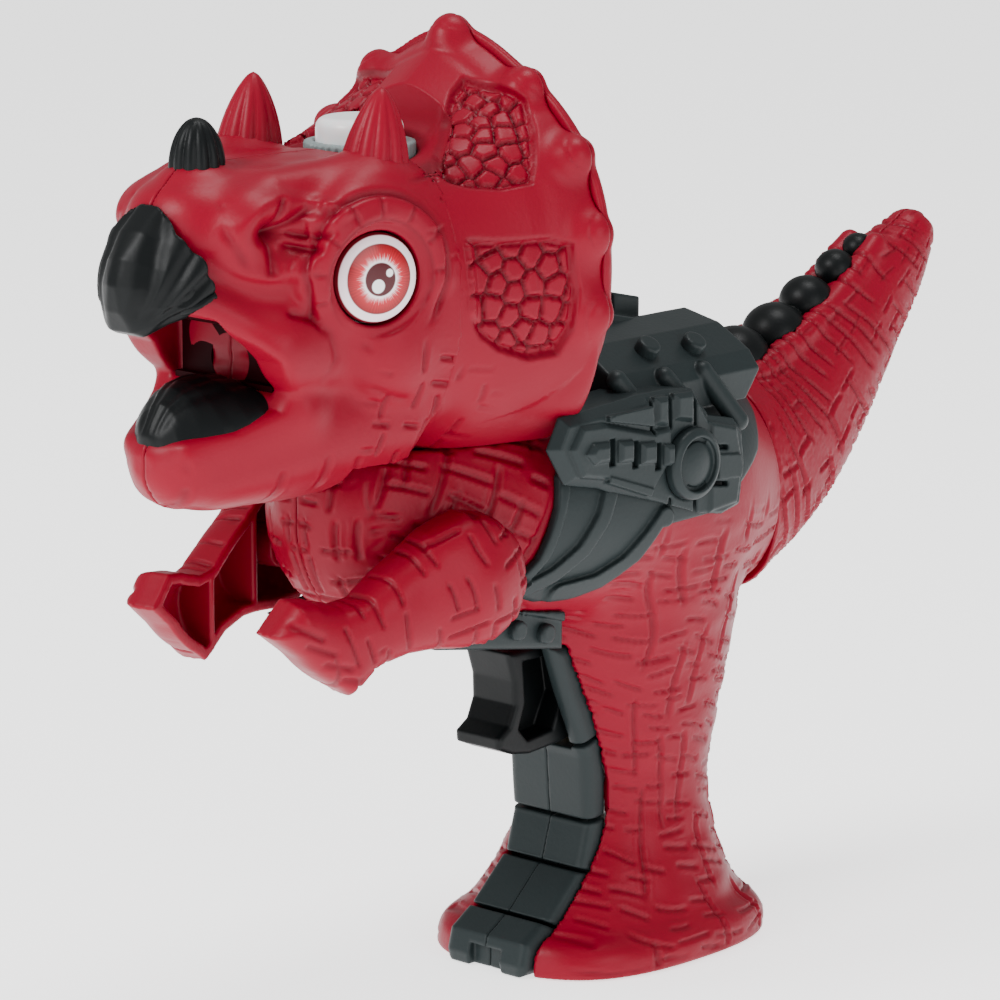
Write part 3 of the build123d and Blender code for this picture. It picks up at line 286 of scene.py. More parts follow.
def sculpt(field, low, high, step, detail=None, smooth=2):
    """The surface of a field, evened out, with carved detail pushed along its normals."""
    step = step * COARSE
    verts, quads = skin_of(field, low, high, step)
    verts = relaxed(verts, quads, smooth)
    for _ in range(2):
        g = gradient(field, verts)
        d = in_parts(field, verts)
        move = d[:, None] * g / np.maximum((g**2).sum(1), 0.15)[:, None]
        size = np.linalg.norm(move, axis=1)
        verts = verts - move * np.minimum(1, 0.8 * step / np.maximum(size, 1e-9))[:, None]
    # How much painted shade each point gets, as the detail gives it.
    groove_shade = np.zeros(len(verts))
    if detail:
        g = gradient(field, verts, 0.5)
        normals = g / np.maximum(np.linalg.norm(g, axis=1), 1e-6)[:, None]
        push, groove_shade = detail(verts, normals)
        verts = verts + normals * push[:, None]
    return verts, quads, groove_shade


def build(node, made, finish, body="shell", name=None, mirror=False):
    """A piece that rides on body and stands for a CAD node, from vertices in millimetres."""
    verts, faces, groove_shade = made
    name = name or node + "_skin"
    if mirror:
        verts, faces = verts * [-1, 1, 1], faces[:, ::-1]
    mesh = bpy.data.meshes.new(name)
    mesh.from_pydata((verts * MM).tolist(), [], faces.tolist())
    mesh.polygons.foreach_set("use_smooth", np.ones(len(mesh.polygons), bool))
    # A per-point attribute of painted shade: how far the colour darkens in carved lines and hollows.
    depth = mesh.attributes.new("groove_shade", "FLOAT", "POINT")
    depth.data.foreach_set("value", np.clip(groove_shade, 0, 1).astype(np.float32))
    mesh.materials.append(FINISHES[finish])
    piece = bpy.data.objects.new(name, mesh)
    bpy.context.scene.collection.objects.link(piece)
    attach(piece, body)
    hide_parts(node)


def pair(name, made, finish, moving=False):
    """The left piece and its mirror image. Moving ones ride on bodies of their own."""
    for side in ("left", "right"):
        node = name + "_" + side
        build(node, made, finish, node if moving else "shell", mirror=side == "right")


# --- carving


def scattered(p, spacing, rng):
    """Indices of points of p that lie about spacing apart."""
    taken, cells = [], {}
    for i in rng.permutation(len(p)):
        key = tuple((p[i] // spacing).astype(int))
        near = []
        for move in product((-1, 0, 1), repeat=3):
            near += cells.get(tuple(map(sum, zip(key, move))), [])
        if not any(((p[i] - p[j]) ** 2).sum() < spacing * spacing for j in near):
            cells.setdefault(key, []).append(i)
            taken.append(i)
    return np.array(taken)


SEED_POOL = 6000


def plates(p, spacing, seed):
    """Distance of each point to the edge of the scale it lies in, and the scale's number."""
    rng = np.random.default_rng(seed)
    pool = p[rng.permutation(len(p))[:SEED_POOL]]
    seeds = pool[scattered(pool, spacing, rng)]
    tree = KDTree(len(seeds))
    for i, point in enumerate(seeds):
        tree.insert(point, i)
    tree.balance()
    edge, number = np.zeros(len(p)), np.zeros(len(p), int)
    for i, point in enumerate(p):
        (_, a, da), (_, b, db) = tree.find_n(point, 2)
        edge[i] = (db * db - da * da) / (2 * np.linalg.norm(seeds[a] - seeds[b]))
        number[i] = a
    return edge, number


def hashed(row, cell, seed):
    """A fixed irregular value from 0 to 1 for each row and cell."""
    value = np.sin(row * 127.1 + cell * 311.7 + seed * 74.7) * 43758.5453
    return value - np.floor(value)


def strokes(across, along, pitch, length, seed, share=0.8, width=0.75, tilt=0.1):
    """Carved strokes in staggered rows: 1 in the cut, a little under 0 on its raised lips."""
    row = np.floor(across / pitch)
    run = along / length + hashed(row, 0, seed)
    cell = np.floor(run)
    t = run - cell
    shift = (hashed(row, cell, seed + 1) - 0.5) * 0.45 * pitch
    slope = (hashed(row, cell, seed + 2) - 0.5) * 2 * tilt
    off = across - (row + 0.5) * pitch - shift - slope * (t - 0.5) * length
    last = 0.6 + 0.4 * hashed(row, cell, seed + 3)
    ends = ramp(t, 0, 0.12) * (1 - ramp(t, last - 0.12, last))
    lips = ridge(np.abs(off) - 1.9 * width, 0.8 * width)
    return (ridge(off, width) - 0.28 * lips) * ends * (hashed(row, cell, seed + 4) < share)


def leg_strokes(p, seed=41):
    """Elephant-skin strokes: short level ones crossed by long upright ones."""
    x, y, z = p.T
    around = np.arctan2(x, 5 - y) * 30
    level = z + 2.4 * noise(p, 13, seed)
    short = strokes(level + 0.15 * around, around, 3.9, 12, seed, 0.8, 0.5, 0.14)
    upright = strokes(around + 3.0 * noise(p, 17, seed + 1), level, 9.5, 30, seed + 7, 0.7, 0.65, 0.08)
    return np.clip(short * 0.75 + upright * 0.9, -0.4, 1.1)


def cheek_strokes(p):
    """Short crossed strokes where the cheek meets the frill."""
    _, y, z = p.T
    level = strokes(z + 0.2 * y, y, 6, 8.5, 11, 0.6, 0.65)
    upright = strokes(y + 1.5 * noise(p, 9, 2), z, 6.2, 9, 17, 0.7, 0.65)
    return np.clip(level + upright, -0.4, 1)


# --- finishes


def linear(c):
    return c / 255 / 12.92 if c <= 10 else ((c / 255 + 0.055) / 1.055) ** 2.4


def srgb(r, g, b):
    return linear(r), linear(g), linear(b), 1


FINISHES = {}


def textured(nodes, links, where, scale, detail):
    texture = nodes.new("ShaderNodeTexNoise")
    texture.inputs["Scale"].default_value = scale
    texture.inputs["Detail"].default_value = detail
    links.new(where.outputs["Object"], texture.inputs["Vector"])
    return texture


def mixer(nodes, blend="MIX"):
    mix = nodes.new("ShaderNodeMix")
    mix.data_type = "RGBA"
    mix.blend_type = blend
    return mix


def new_finish(name, settings):
    """A material with these values on its shader's own sockets."""
    material = bpy.data.materials.new(name)
    material.use_nodes = True
    shader = material.node_tree.nodes["Principled BSDF"]
    for socket, value in settings.items():
        shader.inputs[socket].default_value = value
    FINISHES[name] = material
    return material.node_tree.nodes, material.node_tree.links, shader


def plastic(name, colour, roughness, crease_shade=None, grain=0, mottle=0, soft=0, metal=0, clear=0, level=0.5):
    """A moulded-plastic finish; the fourth colour is painted shade, laid into the carved grooves."""
    colour = srgb(*colour)
    nodes, links, shader = new_finish(name, {
        "Roughness": roughness, "Metallic": metal, "Specular IOR Level": level, "Coat Weight": 0,
        "Coat Roughness": 0.25, "Transmission Weight": clear, "Base Color": colour,
    })
    if soft:
        shader.inputs["Subsurface Weight"].default_value = soft
        shader.inputs["Subsurface Radius"].default_value = (1, 0.25, 0.2)
        shader.inputs["Subsurface Scale"].default_value = 0.0025
    where = nodes.new("ShaderNodeTexCoord")
    tint = mixer(nodes)
    tint.inputs["A"].default_value = tuple(c * (1 - mottle) for c in colour[:3]) + (1,)
    tint.inputs["B"].default_value = tuple(min(1, c * (1 + mottle)) for c in colour[:3]) + (1,)
    links.new(textured(nodes, links, where, 55, 3).outputs["Fac"], tint.inputs["Factor"])
    out = tint.outputs["Result"]
    # Painted shade: the colour is pulled towards the fourth colour where the carved-line attribute is high.
    if crease_shade:
        depth = nodes.new("ShaderNodeAttribute")
        depth.attribute_name = "groove_shade"
        mix = mixer(nodes)
        mix.inputs["B"].default_value = srgb(*crease_shade)
        links.new(depth.outputs["Fac"], mix.inputs["Factor"])
        links.new(out, mix.inputs["A"])
        out = mix.outputs["Result"]
    links.new(out, shader.inputs["Base Color"])
    if grain:
        bump = nodes.new("ShaderNodeBump")
        bump.inputs["Strength"].default_value = grain
        bump.inputs["Distance"].default_value = 0.0004
        links.new(textured(nodes, links, where, 900, 2).outputs["Fac"], bump.inputs["Height"])
        links.new(bump.outputs["Normal"], shader.inputs["Normal"])


# The fourth colour of each finish is painted shade for the carved lines and hollows.
plastic("red_skin", (128, 0, 30), 0.40, (60, 0, 12), grain=0.12, mottle=0.08, soft=0.05, level=0.17)
plastic("dark_trim", (31, 39, 40), 0.44, (18, 22, 23), grain=0.12, mottle=0.04, level=0.2)
plastic("black_trim", (8, 11, 12), 0.42, (4, 6, 7), grain=0.08, mottle=0.05, level=0.16)
plastic("milky_plastic", (238, 236, 236), 0.30, mottle=0.02, soft=0.3)
plastic("grey_collar", (120, 132, 132), 0.42, (60, 66, 66), mottle=0.04)
plastic("clear_red", (34, 0, 4), 0.5, mottle=0.05, level=0.04)
plastic("violet_plastic", (44, 10, 66), 0.3, mottle=0.05, level=0.3)
plastic("white_plastic", (226, 226, 220), 0.4, mottle=0.03)
plastic("steel", (190, 192, 195), 0.28, mottle=0.05, metal=1)
plastic("brass", (205, 165, 80), 0.3, mottle=0.05, metal=1)
plastic("cell_wrap", (44, 70, 120), 0.35, mottle=0.05)
plastic("board_green", (28, 92, 52), 0.45, mottle=0.12)
plastic("speaker_black", (24, 24, 26), 0.55, mottle=0.08)
plastic("clear_hose", (225, 228, 230), 0.2, mottle=0.02, clear=0.5)
plastic("wire_black", (30, 30, 34), 0.4, mottle=0.05)
plastic("lamp_lens", (240, 240, 235), 0.1, mottle=0.02, clear=0.6)

slot_of_node = {row["node"]: row["material_slot"] for row in frame["record"]["subparts"]}
for name, node in frame["nodes"].items():
    node.data.materials.clear()
    node.data.materials.append(FINISHES.get(slot_of_node.get(name), FINISHES["white_plastic"]))

# --- shared forms

WALL = 2.4
SPLIT_GAP = 0.06
BOTTLE_Y = -81
NOSE_HORN_Y = -133.3
BROW_HORN = (20.5, -97.6)
SPRING_Z = 72
NECK_Z = 139.5
HEAD_REAR = -87

head_core = loft([
    (-149, 6.5, 189, 202.5),
    (-145, 12, 184, 206.5),
    (-137, 17.6, 177, 209.8),
    (-125, 24, 168, 211),
    (-110, 30.5, 158, 211),
    (-95, 35.5, 148, 210.6),
    (-80, 39, 138, 209.4),
    (-49.4, 42.5, 130.5, 209),
], 2.25, ends=(4, 1))
jaw_core = loft([
    (-151, 4.5, 140, 148),
    (-147.5, 9, 135.5, 151),
    (-139.5, 14.5, 132.5, 156.5),
    (-125, 21.5, 131.5, 163),
    (-106, 27, 131.5, 170),
    (-88, 31, 132, 176),
], 2.15, ends=(2, 6))

FRILL_HALF = [
    (0, 236), (10, 233), (19.5, 227.8), (27, 223.6), (35.5, 216.5), (42, 208.5), (46.3, 199),
    (48.4, 187.5), (48.2, 175), (46.8, 166), (43, 157), (37, 149.8), (27, 145.6), (12, 143.5), (0, 143),
]
FRILL_MIDDLE = 190.8
frill_angles = np.array([math.atan2(x, z - FRILL_MIDDLE) for x, z in FRILL_HALF])
frill_radii = np.array([math.hypot(x, z - FRILL_MIDDLE) for x, z in FRILL_HALF])
fine_angles = np.linspace(0, math.pi, 181)
fine_radii = np.convolve(
    np.pad(np.interp(fine_angles, frill_angles, frill_radii), 6, mode="edge"), np.ones(13) / 13, "valid",
)
KNOBS = [
    (0, 233.7, 4.3), (24.2, 223.2, 4.1), (40, 208.4, 4), (45.9, 190.5, 4), (46, 171.5, 4),
    (33.8, 151.3, 4.1),
]


def frill_polar(p):
    x, z = np.abs(p[:, 0]), p[:, 2] - FRILL_MIDDLE
    angle, radius = np.arctan2(x, z), np.hypot(x, z)
    return angle, radius, np.interp(angle, fine_angles, fine_radii)


def frill_form(p):
    """The flared collar behind the head, up to its flat back."""
    angle, radius, rim = frill_polar(p)
    t = radius / rim
    depth = 15 + 19 * ramp(angle, 0.35, 1.25)
    inward = np.clip((1 - t) / 0.28, 0, 1)
    front = -50.5 - depth * inward**1.15
    slope = depth * 1.2 / 0.28 / rim * np.where((t > 0.72) & (t < 1), 1, 0.25)
    d = (front - p[:, 1]) / np.sqrt(1 + slope**2)
    d = smax(d, (radius - rim), 6.5)
    q = mirrored(p)
    for x, z, r in KNOBS:
        d = smin(d, oval(q, (x, -50, z), (r, r * 1.1, r)), 5.6)
    return smax(d, p[:, 1] + 49, 1)


EYE = np.array([32, -108, 185.5])
turn = math.radians(18)
EYE_OUT = np.array([math.cos(turn), -math.sin(turn), 0])
EYE_FORE = np.array([math.sin(turn), math.cos(turn), 0]) * -1.0


def eye_frame(p):
    """Position in the plane of the eye: forward, up and outward."""
    r = mirrored(p) - EYE
    return r @ EYE_FORE, r[:, 2], r @ EYE_OUT


def face_form(p):
    """The head with its brow, lids, lips and horn bosses."""
    q = mirrored(p)
    d = smin(head_core(p), jaw_core(p), 7)
    d = smin(d, oval(q, (*BROW_HORN, 206), (9.8, 9.6, 5.8)), 3)
    d = smin(d, cone(q, (20, -101, 205), (15, -124, 204.5), 7.5, 5), 6)
    d = smin(d, oval(p, (0, NOSE_HORN_Y, 207.5), (8.2, 8.6, 4.8)), 2.5)
    d = smin(d, oval(q, (26.5, -105.5, 191), (9, 19.5, 17.5)), 5)
    d = smin(d, cone(q, (10.5, -146.5, 184), (18.6, -129, 172), 4.2, 6.6), 7)
    d = smin(d, oval(q, (20.5, -119, 169), (7, 15, 9.5)), 8)
    lid_u, lid_v, lid_out = eye_frame(p)
    lid = np.hypot(np.hypot(lid_u, lid_v * 0.94) - 15.6, lid_out + 2.2) - 3.6
    d = smin(d, lid + 5 * (1 - ramp(lid_v, -12, -1)), 2.6)
    d = smin(d, oval(q, (27.5, -98, 168), (8.5, 12, 12)), 6)
    d = smin(d, oval(q, (15.5, -131, 197.5), (7.6, 9.5, 9.5)), 4)
    return smin(d, cone(q, (8, -144.5, 147.5), (20, -121, 155), 3.2, 5), 5)


def whole_head(p):
    return smin(face_form(p), frill_form(p), 9)


MOUTH = [
    (-175, 180.5), (-151, 179.8), (-142.4, 176.2), (-136, 172), (-131.8, 168.2), (-129.6, 164.5),
    (-126.6, 160.6), (-128.2, 156.4), (-137, 152.2), (-150, 150), (-175, 149.5),
]
THROAT = [(-150, 180), (-127, 174.2), (-123.6, 174.2), (-123.6, 160.3), (-129, 158.6), (-150, 151.5)]


def head_cuts(p, d):
    """The mouth, the eye sockets, the bottle well and the neck, taken out of the head."""
    x, y, z = p.T
    d = smax(d, -outline(y, z, MOUTH), 1.6)
    d = smax(d, -slab(p, THROAT, 16.5, 1), 1)
    u, v, out = eye_frame(p)
    socket = smax(np.hypot(u, v) - 10.9, -out - 6, 0.5)
    d = smax(d, -socket, 0.9)
    lid = smax(np.hypot(u, v) - 12.9, -(out - 0.3), 0.8)
    d = smax(d, -lid, 1.2)
    well = np.hypot(x, y - BOTTLE_Y)
    d = smax(d, -smax(well - 13.5, 195 - z, 0.5), 0.8)
    neck = smax(z - (NECK_Z + 0.15), -107.0 - y, 2)
    return smax(d, -neck, 0.8)


def head_hollow(p):
    core = smin(head_core(p), jaw_core(p), 7) + WALL
    return smax(core, -118.6 - p[:, 1], 1)


# --- head halves


def head_field(p):
    d = head_cuts(p, whole_head(p))
    d = smax(d, p[:, 1] - (HEAD_REAR + 0.5), 0.15)
    d = smax(d, -head_hollow(p), 0.5)
    return smax(d, SPLIT_GAP - p[:, 0], 0.3)


def spokes_at(u, v, angles, width):
    """Straight cuts that run out from a centre at these angles, in degrees."""
    around, angle = np.hypot(u, v), np.degrees(np.arctan2(v, u))
    cuts = np.zeros(len(u))
    for cut in angles:
        away = np.abs((angle - cut + 180) % 360 - 180)
        cuts = np.maximum(cuts, ridge(around * np.radians(away), width))
    return cuts


def head_detail(p, n):
    x, y, z = p.T
    u, v, out = eye_frame(p)
    around = np.hypot(u, v)
    skin = ramp(head_hollow(p), 0.6, 1.6) * ramp(x, 0.3, 1.2)
    # The second value is painted shade: the colour darkens along the eyelid rings, the carved lines and in
    # the nostril pit.
    groove_shade = np.zeros(len(p))
    push = np.zeros(len(p))

    outer = 17.6 + 2.2 * ramp(v, -4, 12)
    ring = ridge(around - outer, 0.8) * ramp(v, -13, -6)
    inner = ridge(around - 13.6, 0.6) * ramp(v - u * 0.3, -6, 0)
    ring = np.where(out > -12, ring, 0)
    inner = np.where(out > -8, inner, 0)
    band = ramp(around, 13.6, 14.6) * (1 - ramp(around, outer - 1.5, outer))
    lid_cuts = spokes_at(u, v, (8, 38, 66, 92, 121, 149, 176, -18), 0.55) * band * 0.8 * (out > -9)
    push -= 1.3 * ring + 0.6 * inner + 0.55 * lid_cuts
    groove_shade = np.maximum.reduce([groove_shade, ring * 0.4, inner * 0.3, lid_cuts * 0.35])

    nose = p - np.array([22, -129, 196])
    nu, nv = -nose[:, 1] * 0.8 + nose[:, 0] * 0.25, nose[:, 2]
    side = ramp(n[:, 0], 0.05, 0.3) * ramp(around, 16, 18.5)
    reach = np.hypot((nu + 0.12 * nv) / 8, nv / (8.6 - 0.10 * nu))
    cup = (1 - ramp(reach, 0.2, 0.95)) * side
    lip = ridge(reach - 1.02, 0.17) * side
    du, dv = nu - 2.6, nv - 1.6
    folds = spokes_at(du, dv, (118, 152, 186, 222, 262), 0.8)
    folds *= ramp(reach, 0.1, 0.35) * (1 - ramp(reach, 0.9, 1.05)) * side
    pit = (1 - ramp(np.hypot(du, dv), 0.4, 4.6)) * side
    rise = ramp(du, 0, -7) * cup
    lobes = ramp(reach, 0.3, 0.7) * (1 - ramp(reach, 0.8, 1.1)) * ramp(-du, -1, 3) * side
    push += -2.6 * cup + rise + 1.1 * lobes - 1.3 * folds + lip - 2.8 * pit
    groove_shade = np.maximum.reduce([groove_shade, folds * 0.35, pit * 0.6])

    for line, weight in (
        ([(24.5, -127.5, 179), (26.5, -121.5, 176.5)], 1),
        ([(14, -139, 203), (16, -136, 202), (18, -134, 200.5)], 0.6),
        ([(17, -142, 199), (18.5, -139, 195), (20, -137, 190), (20.5, -136, 186)], 0.8),
        ([(26, -124, 178), (28, -119, 174), (27.5, -117, 168), (25.5, -119, 164)], 0.6),
        ([(23.5, -132, 190), (25, -128, 183), (26.5, -124, 178)], 0.6),
        ([(31, -111, 170.5), (31, -106, 167), (30, -103, 164)], 0.35),
        ([(26, -126, 158), (28, -116, 160), (30, -106, 159), (31, -99, 156.5)], 0.4),
    ):
        mark = ridge(path_distance(p, line), 1) * weight
        push -= 0.9 * mark
        groove_shade = np.maximum(groove_shade, mark * 0.35)

    cheek = ramp(y, -110, -100) * (1 - ramp(z, 166, 172)) * skin
    jaw = (1 - ramp(z, 141, 148)) * ramp(-y, 100, 108) * skin
    pleats = strokes(y + 0.15 * z, z, 6.4, 17, 19, 0.8, 0.9)
    brow = ramp(y, -100, -92) * ramp(z, 186, 192) * skin
    brow_lines = strokes(z, y + x, 5.5, 9, 23, 0.4, 0.6)
    carved = cheek_strokes(p) * cheek + np.clip(pleats, -0.4, 1) * jaw * 0.6 + brow_lines * brow * 0.6
    push -= 0.75 * carved
    groove_shade = np.maximum(groove_shade, carved * 0.4)
    push += 0.16 * noise(p, 7, 3)
    return push * skin, groove_shade * skin


pair("head", sculpt(head_field, (0, -158, 129), (48, HEAD_REAR + 1, 216), 0.62, head_detail), "red_skin")

# --- frill

# The pockets are drawn on a slanted plane that faces forward and outward.
POCKET_OUT = np.array([0.667, -0.715, 0.208])
POCKET_SIDE = np.array([0.731, 0.682, 0])
POCKET_UP = np.cross(POCKET_OUT, POCKET_SIDE)
UPPER_POCKET = [
    (14, -61, 226), (21, -56, 224), (28, -54, 221), (33, -56, 214), (37, -60, 207), (39, -63, 203),
    (36, -71, 202), (33, -78, 203), (27, -84, 205), (24, -82, 211), (20, -75, 217), (15, -66, 223),
]
LOWER_POCKET = [
    (33, -84, 192), (38, -74, 191), (43, -62, 191), (45, -56, 189), (46, -55, 178), (44, -55, 168),
    (41, -57, 162), (37, -63, 161), (35, -71, 164), (35, -77, 168), (35, -83, 175), (31, -84, 184),
]


def pocket_depth(p, pocket):
    q = mirrored(p)
    rim = np.array(pocket, float)
    return outline(q @ POCKET_SIDE, q @ POCKET_UP, np.column_stack([rim @ POCKET_SIDE, rim @ POCKET_UP]))


def frill_field(p):
    d = head_cuts(p, whole_head(p))
    d = smax(d, HEAD_REAR - 0.5 - p[:, 1], 0.15)
    return smax(d, -smax(head_core(p) + WALL + 0.6, -p[:, 1] - 95, 1), 0.5)


def frill_detail(p, n):
    x, y, z = p.T
    q = mirrored(p)
    facing = np.column_stack([np.sign(x) * n[:, 0], n[:, 1], n[:, 2]]) @ POCKET_OUT
    outside = ramp(facing, -0.05, 0.2) * ramp(head_core(p), -WALL + 0.2, -WALL + 1.6)
    # The second value is painted shade: the colour darkens in the gaps between the pocket scales, along the
    # pocket crease and in the cheek strokes.
    push, groove_shade = np.zeros(len(p)), np.zeros(len(p))
    for number, (pocket, spacing) in enumerate(((UPPER_POCKET, 4.3), (LOWER_POCKET, 4.6))):
        d = pocket_depth(p, pocket)
        floor = (1 - ramp(d, -1.6, 0.4)) * outside * ramp(y, -85, -81.5)
        where = np.flatnonzero(floor > 0.02)
        if len(where) == 0:
            continue
        edge, scale = plates(q[where], spacing, 31 + number)
        lift = np.random.default_rng(7).random(9999)[scale] * 0.35
        raised = ramp(edge, 0.12, 0.75)
        inner = 1 - ramp(d[where], -2, -0.8)
        push[where] += -2.5 * floor[where] + (1.3 + lift) * raised * inner
        groove_shade[where] = np.maximum(groove_shade[where], (1 - raised) * inner * 0.45)
        crease = ridge(d + 0.3, 0.5) * outside * ramp(y, -85, -81.5)
        groove_shade = np.maximum(groove_shade, crease * 0.25)
    _, radius, rim = frill_polar(p)
    roll = ridge(rim - radius - 5.2, 0.9) * outside * (y > -66)
    push -= 0.3 * roll
    cheek = (1 - ramp(z, 158, 164)) * ramp(-y, 56, 62) * outside
    carved = cheek_strokes(p) * cheek * ramp(-y, 70, 84)
    push -= 0.75 * carved
    groove_shade = np.maximum(groove_shade, carved * 0.4)
    push += 0.14 * noise(p, 8, 4) * outside
    return push, groove_shade


build(
    "frill_front",
    sculpt(frill_field, (-50.5, HEAD_REAR - 2, 129), (50.5, -48, 238.5), 0.62, frill_detail), "red_skin",
)


def frill_back_field(p):
    _, radius, rim = frill_polar(p)
    d = radius - rim
    q = mirrored(p)
    for x, z, r in KNOBS:
        d = smin(d, ball(q, (x, -48.8, z), r), 2)
    d = smax(d, p[:, 1] + 45.6, 2.6)
    return smax(d, -48.85 - p[:, 1], 0.3)


build("frill_back", sculpt(frill_back_field, (-50.5, -49, 142), (50.5, -45.4, 238.5), 0.8), "red_skin")

# --- body halves

torso = loft([
    (-103, 9, 116, 138),
    (-95.5, 17.5, 104, 142.5),
    (-79, 25.2, 95.2, 148),
    (-60, 31.5, 91, 151),
    (-30, 36.5, 87, 153),
    (0, 37, 84, 152),
    (25, 33, 82, 149),
    (42, 26.5, 84, 140),
    (50, 24, 86, 136),
], 2.05, ends=(5, 1))
leg = loft([
    (-1, 30, -36, 45),
    (4, 30.5, -35.5, 45.5),
    (12, 29.5, -30, 42),
    (26, 25, -18, 36),
    (40, 22.5, -14, 33.5),
    (58, 25, -17.5, 36),
    (80, 29.5, -27, 40.5),
    (100, 33.5, -33, 41),
    (122, 33, -30, 38),
], 2.05, level=True, ends=(1, 14))

INLAY = [
    (-28.5, 82), (-24, 70), (-18.5, 58), (-16.2, 51.7), (-14.8, 34), (-17.6, 24.4), (-29.4, 13.7),
    (-37.7, 8.5), (-39.2, 2.9), (-38.5, 0), (-26, 0), (-22, 8), (-10, 17), (-8, 30), (-8, 46), (-10, 60),
    (-17, 76), (-20, 82),
]
INLAY_SPACE = [
    (-60, 82.4), (-60, -2), (-25.6, -2), (-21.6, 8.2), (-9.6, 17.2), (-7.6, 30), (-7.6, 46.2),
    (-9.6, 60.2), (-16.6, 76.2), (-19.6, 82.4),
]


def inlay_space(p):
    return slab(p, INLAY_SPACE, 13.7, 0.3)


def foot(p):
    x, y, z = p.T
    return smax(super_distance(x, y - 4.6, 33.4, 41.2, 2.9), z - 8, 6)


def body_form(p):
    return smin(smin(torso(p), leg(p), 4), foot(p), 7)


def body_hollow(p):
    return smin(torso(p) + 3, smax(leg(p) + 3.2, 2.6 - p[:, 2], 0.5), 3)


def body_field(p):
    x, y, z = p.T
    d = body_form(p)
    d = smax(d, -body_hollow(p), 0.5)
    d = smax(d, -smax(NECK_Z - 0.15 - z, y + 45.1, 0.5), 0.6)
    d = smax(d, y - 41.85, 0.4)
    d = smax(d, -inlay_space(p), 0.5)
    d = smax(d, -box(p, (-9.2, -60, 53.6), (9.2, -4, 83)), 0.3)
    d = smax(d, -box(p, (-10.1, 20, 11.9), (10.1, 60, 54.1)), 0.3)
    d = smax(d, -z, 0.8)
    return smax(d, SPLIT_GAP - x, 0.3)


def body_detail(p, n):
    x, y, z = p.T
    skin = ramp(body_hollow(p), 0.8, 1.8) * ramp(z, 0.4, 2) * ramp(x, 0.3, 1)
    skin *= ramp(41.8 - y, 0.2, 1.2)
    trim = outline(y, z, SADDLE)
    bare = skin * ramp(trim, 0.2, 2)
    legs = bare * ramp(112 - z, -4, 6) * ramp(y, -34, -26)
    chest = bare * ramp(-y, 46, 52)
    arc = np.arctan2(x, z - 118) * 29 + 1.5 * noise(p, 18, 5)
    down = strokes(y * 0.85 + arc * 0.5, arc * 0.85 - y * 0.5, 7, 32, 47, 0.95, 0.8, 0.05)
    over = strokes(y * 0.5 - arc * 0.85, arc * 0.5 + y * 0.85, 6.5, 15, 53, 0.9, 0.7, 0.08)
    fore = ramp(-n[:, 1], 0.5, 0.75)
    upright = strokes(x + 1.2 * noise(p, 10, 6), z, 6, 12, 57, 0.8, 0.6, 0.1)
    level = strokes(z + 1.2 * noise(p, 12, 7), x, 6, 9, 59, 0.7, 0.6, 0.1)
    crossed = (down + over) * (1 - fore) + (upright + level) * fore
    net = leg_strokes(p) * legs + np.clip(crossed, -0.4, 1.1) * chest
    push = -0.8 * net + 0.35 * noise(p * [1, 1, 2.2], 8, 6) * legs + 0.12 * noise(p, 6, 2)
    # The second value is painted shade: the colour darkens along the carved strokes.
    return push * skin, net * 0.32


SADDLE = [
    (-37, 172), (-37, 139), (-43, 138.6), (-49.5, 131), (-51, 124), (-55.5, 112), (-62, 104), (-50, 99.6),
    (-41, 99.2), (-33, 101.2), (-24, 107), (-18, 114.5), (5, 115), (26, 126), (33, 134), (36, 146),
    (41, 172),
]

pair("body", sculpt(body_field, (0, -108, -0.5), (40, 42, 156), 0.755, body_detail), "red_skin")

# --- tail

TAIL = np.array([
    (38, 111.5, 26.5, 28),
    (42.2, 112.5, 25.5, 27),
    (54, 115.5, 23.2, 25),
    (66, 120, 20.6, 22.4),
    (86, 133, 16, 17.6),
    (103, 147.3, 12.3, 13.4),
    (118, 159.2, 9, 9.6),
    (125, 165.2, 6.8, 6.9),
], float)
tail_run = np.concatenate([[0], np.cumsum(np.hypot(np.diff(TAIL[:, 0]), np.diff(TAIL[:, 1])))])
tail_s, tail_v = smooth_table(np.column_stack([tail_run, TAIL]), 90)


def tail_place(p):
    """The nearest place on the tail's middle line, and the height above it."""
    _, y, z = p.T
    best, which = np.full(len(p), 1e18), np.zeros(len(p), int)
    for i in range(len(tail_s)):
        d = (y - tail_v[i, 0]) ** 2 + (z - tail_v[i, 1]) ** 2
        which = np.where(d < best, i, which)
        best = np.minimum(d, best)
    ty, tz = np.gradient(tail_v[:, 0]), np.gradient(tail_v[:, 1])
    size = np.hypot(ty, tz)
    ty, tz = (ty / size)[which], (tz / size)[which]
    ry, rz = y - tail_v[which, 0], z - tail_v[which, 1]
    along = ry * ty + rz * tz
    return which, ry * -tz + rz * ty, along, tail_s[which] + along


TAIL_SHOULDER = [
    (8.6, 45, 136.6), (8.6, 58, 140.6), (8, 70, 145.2), (6.8, 82, 150.2), (5.4, 94, 156.6),
    (4.2, 106, 165.4),
]


def tail_form(p):
    """The tail with a soft shoulder along each side of the balls."""
    which, up, _, _ = tail_place(p)
    d = super_distance(p[:, 0], up, tail_v[which, 2], tail_v[which, 3], 2.45)
    end = which == len(tail_s) - 1
    tip = ball(p, (0, tail_v[-1, 0], tail_v[-1, 1]), 6.9)
    d = np.where(end, tip, d)
    return smin(d, path_distance(mirrored(p), TAIL_SHOULDER) - 3, 4)


def tail_field(p):
    d = smax(tail_form(p), -(tail_form(p) + WALL), 0.3)
    d = smax(d, 42.2 - p[:, 1], 0.5)
    return smax(d, SPLIT_GAP - p[:, 0], 0.3)


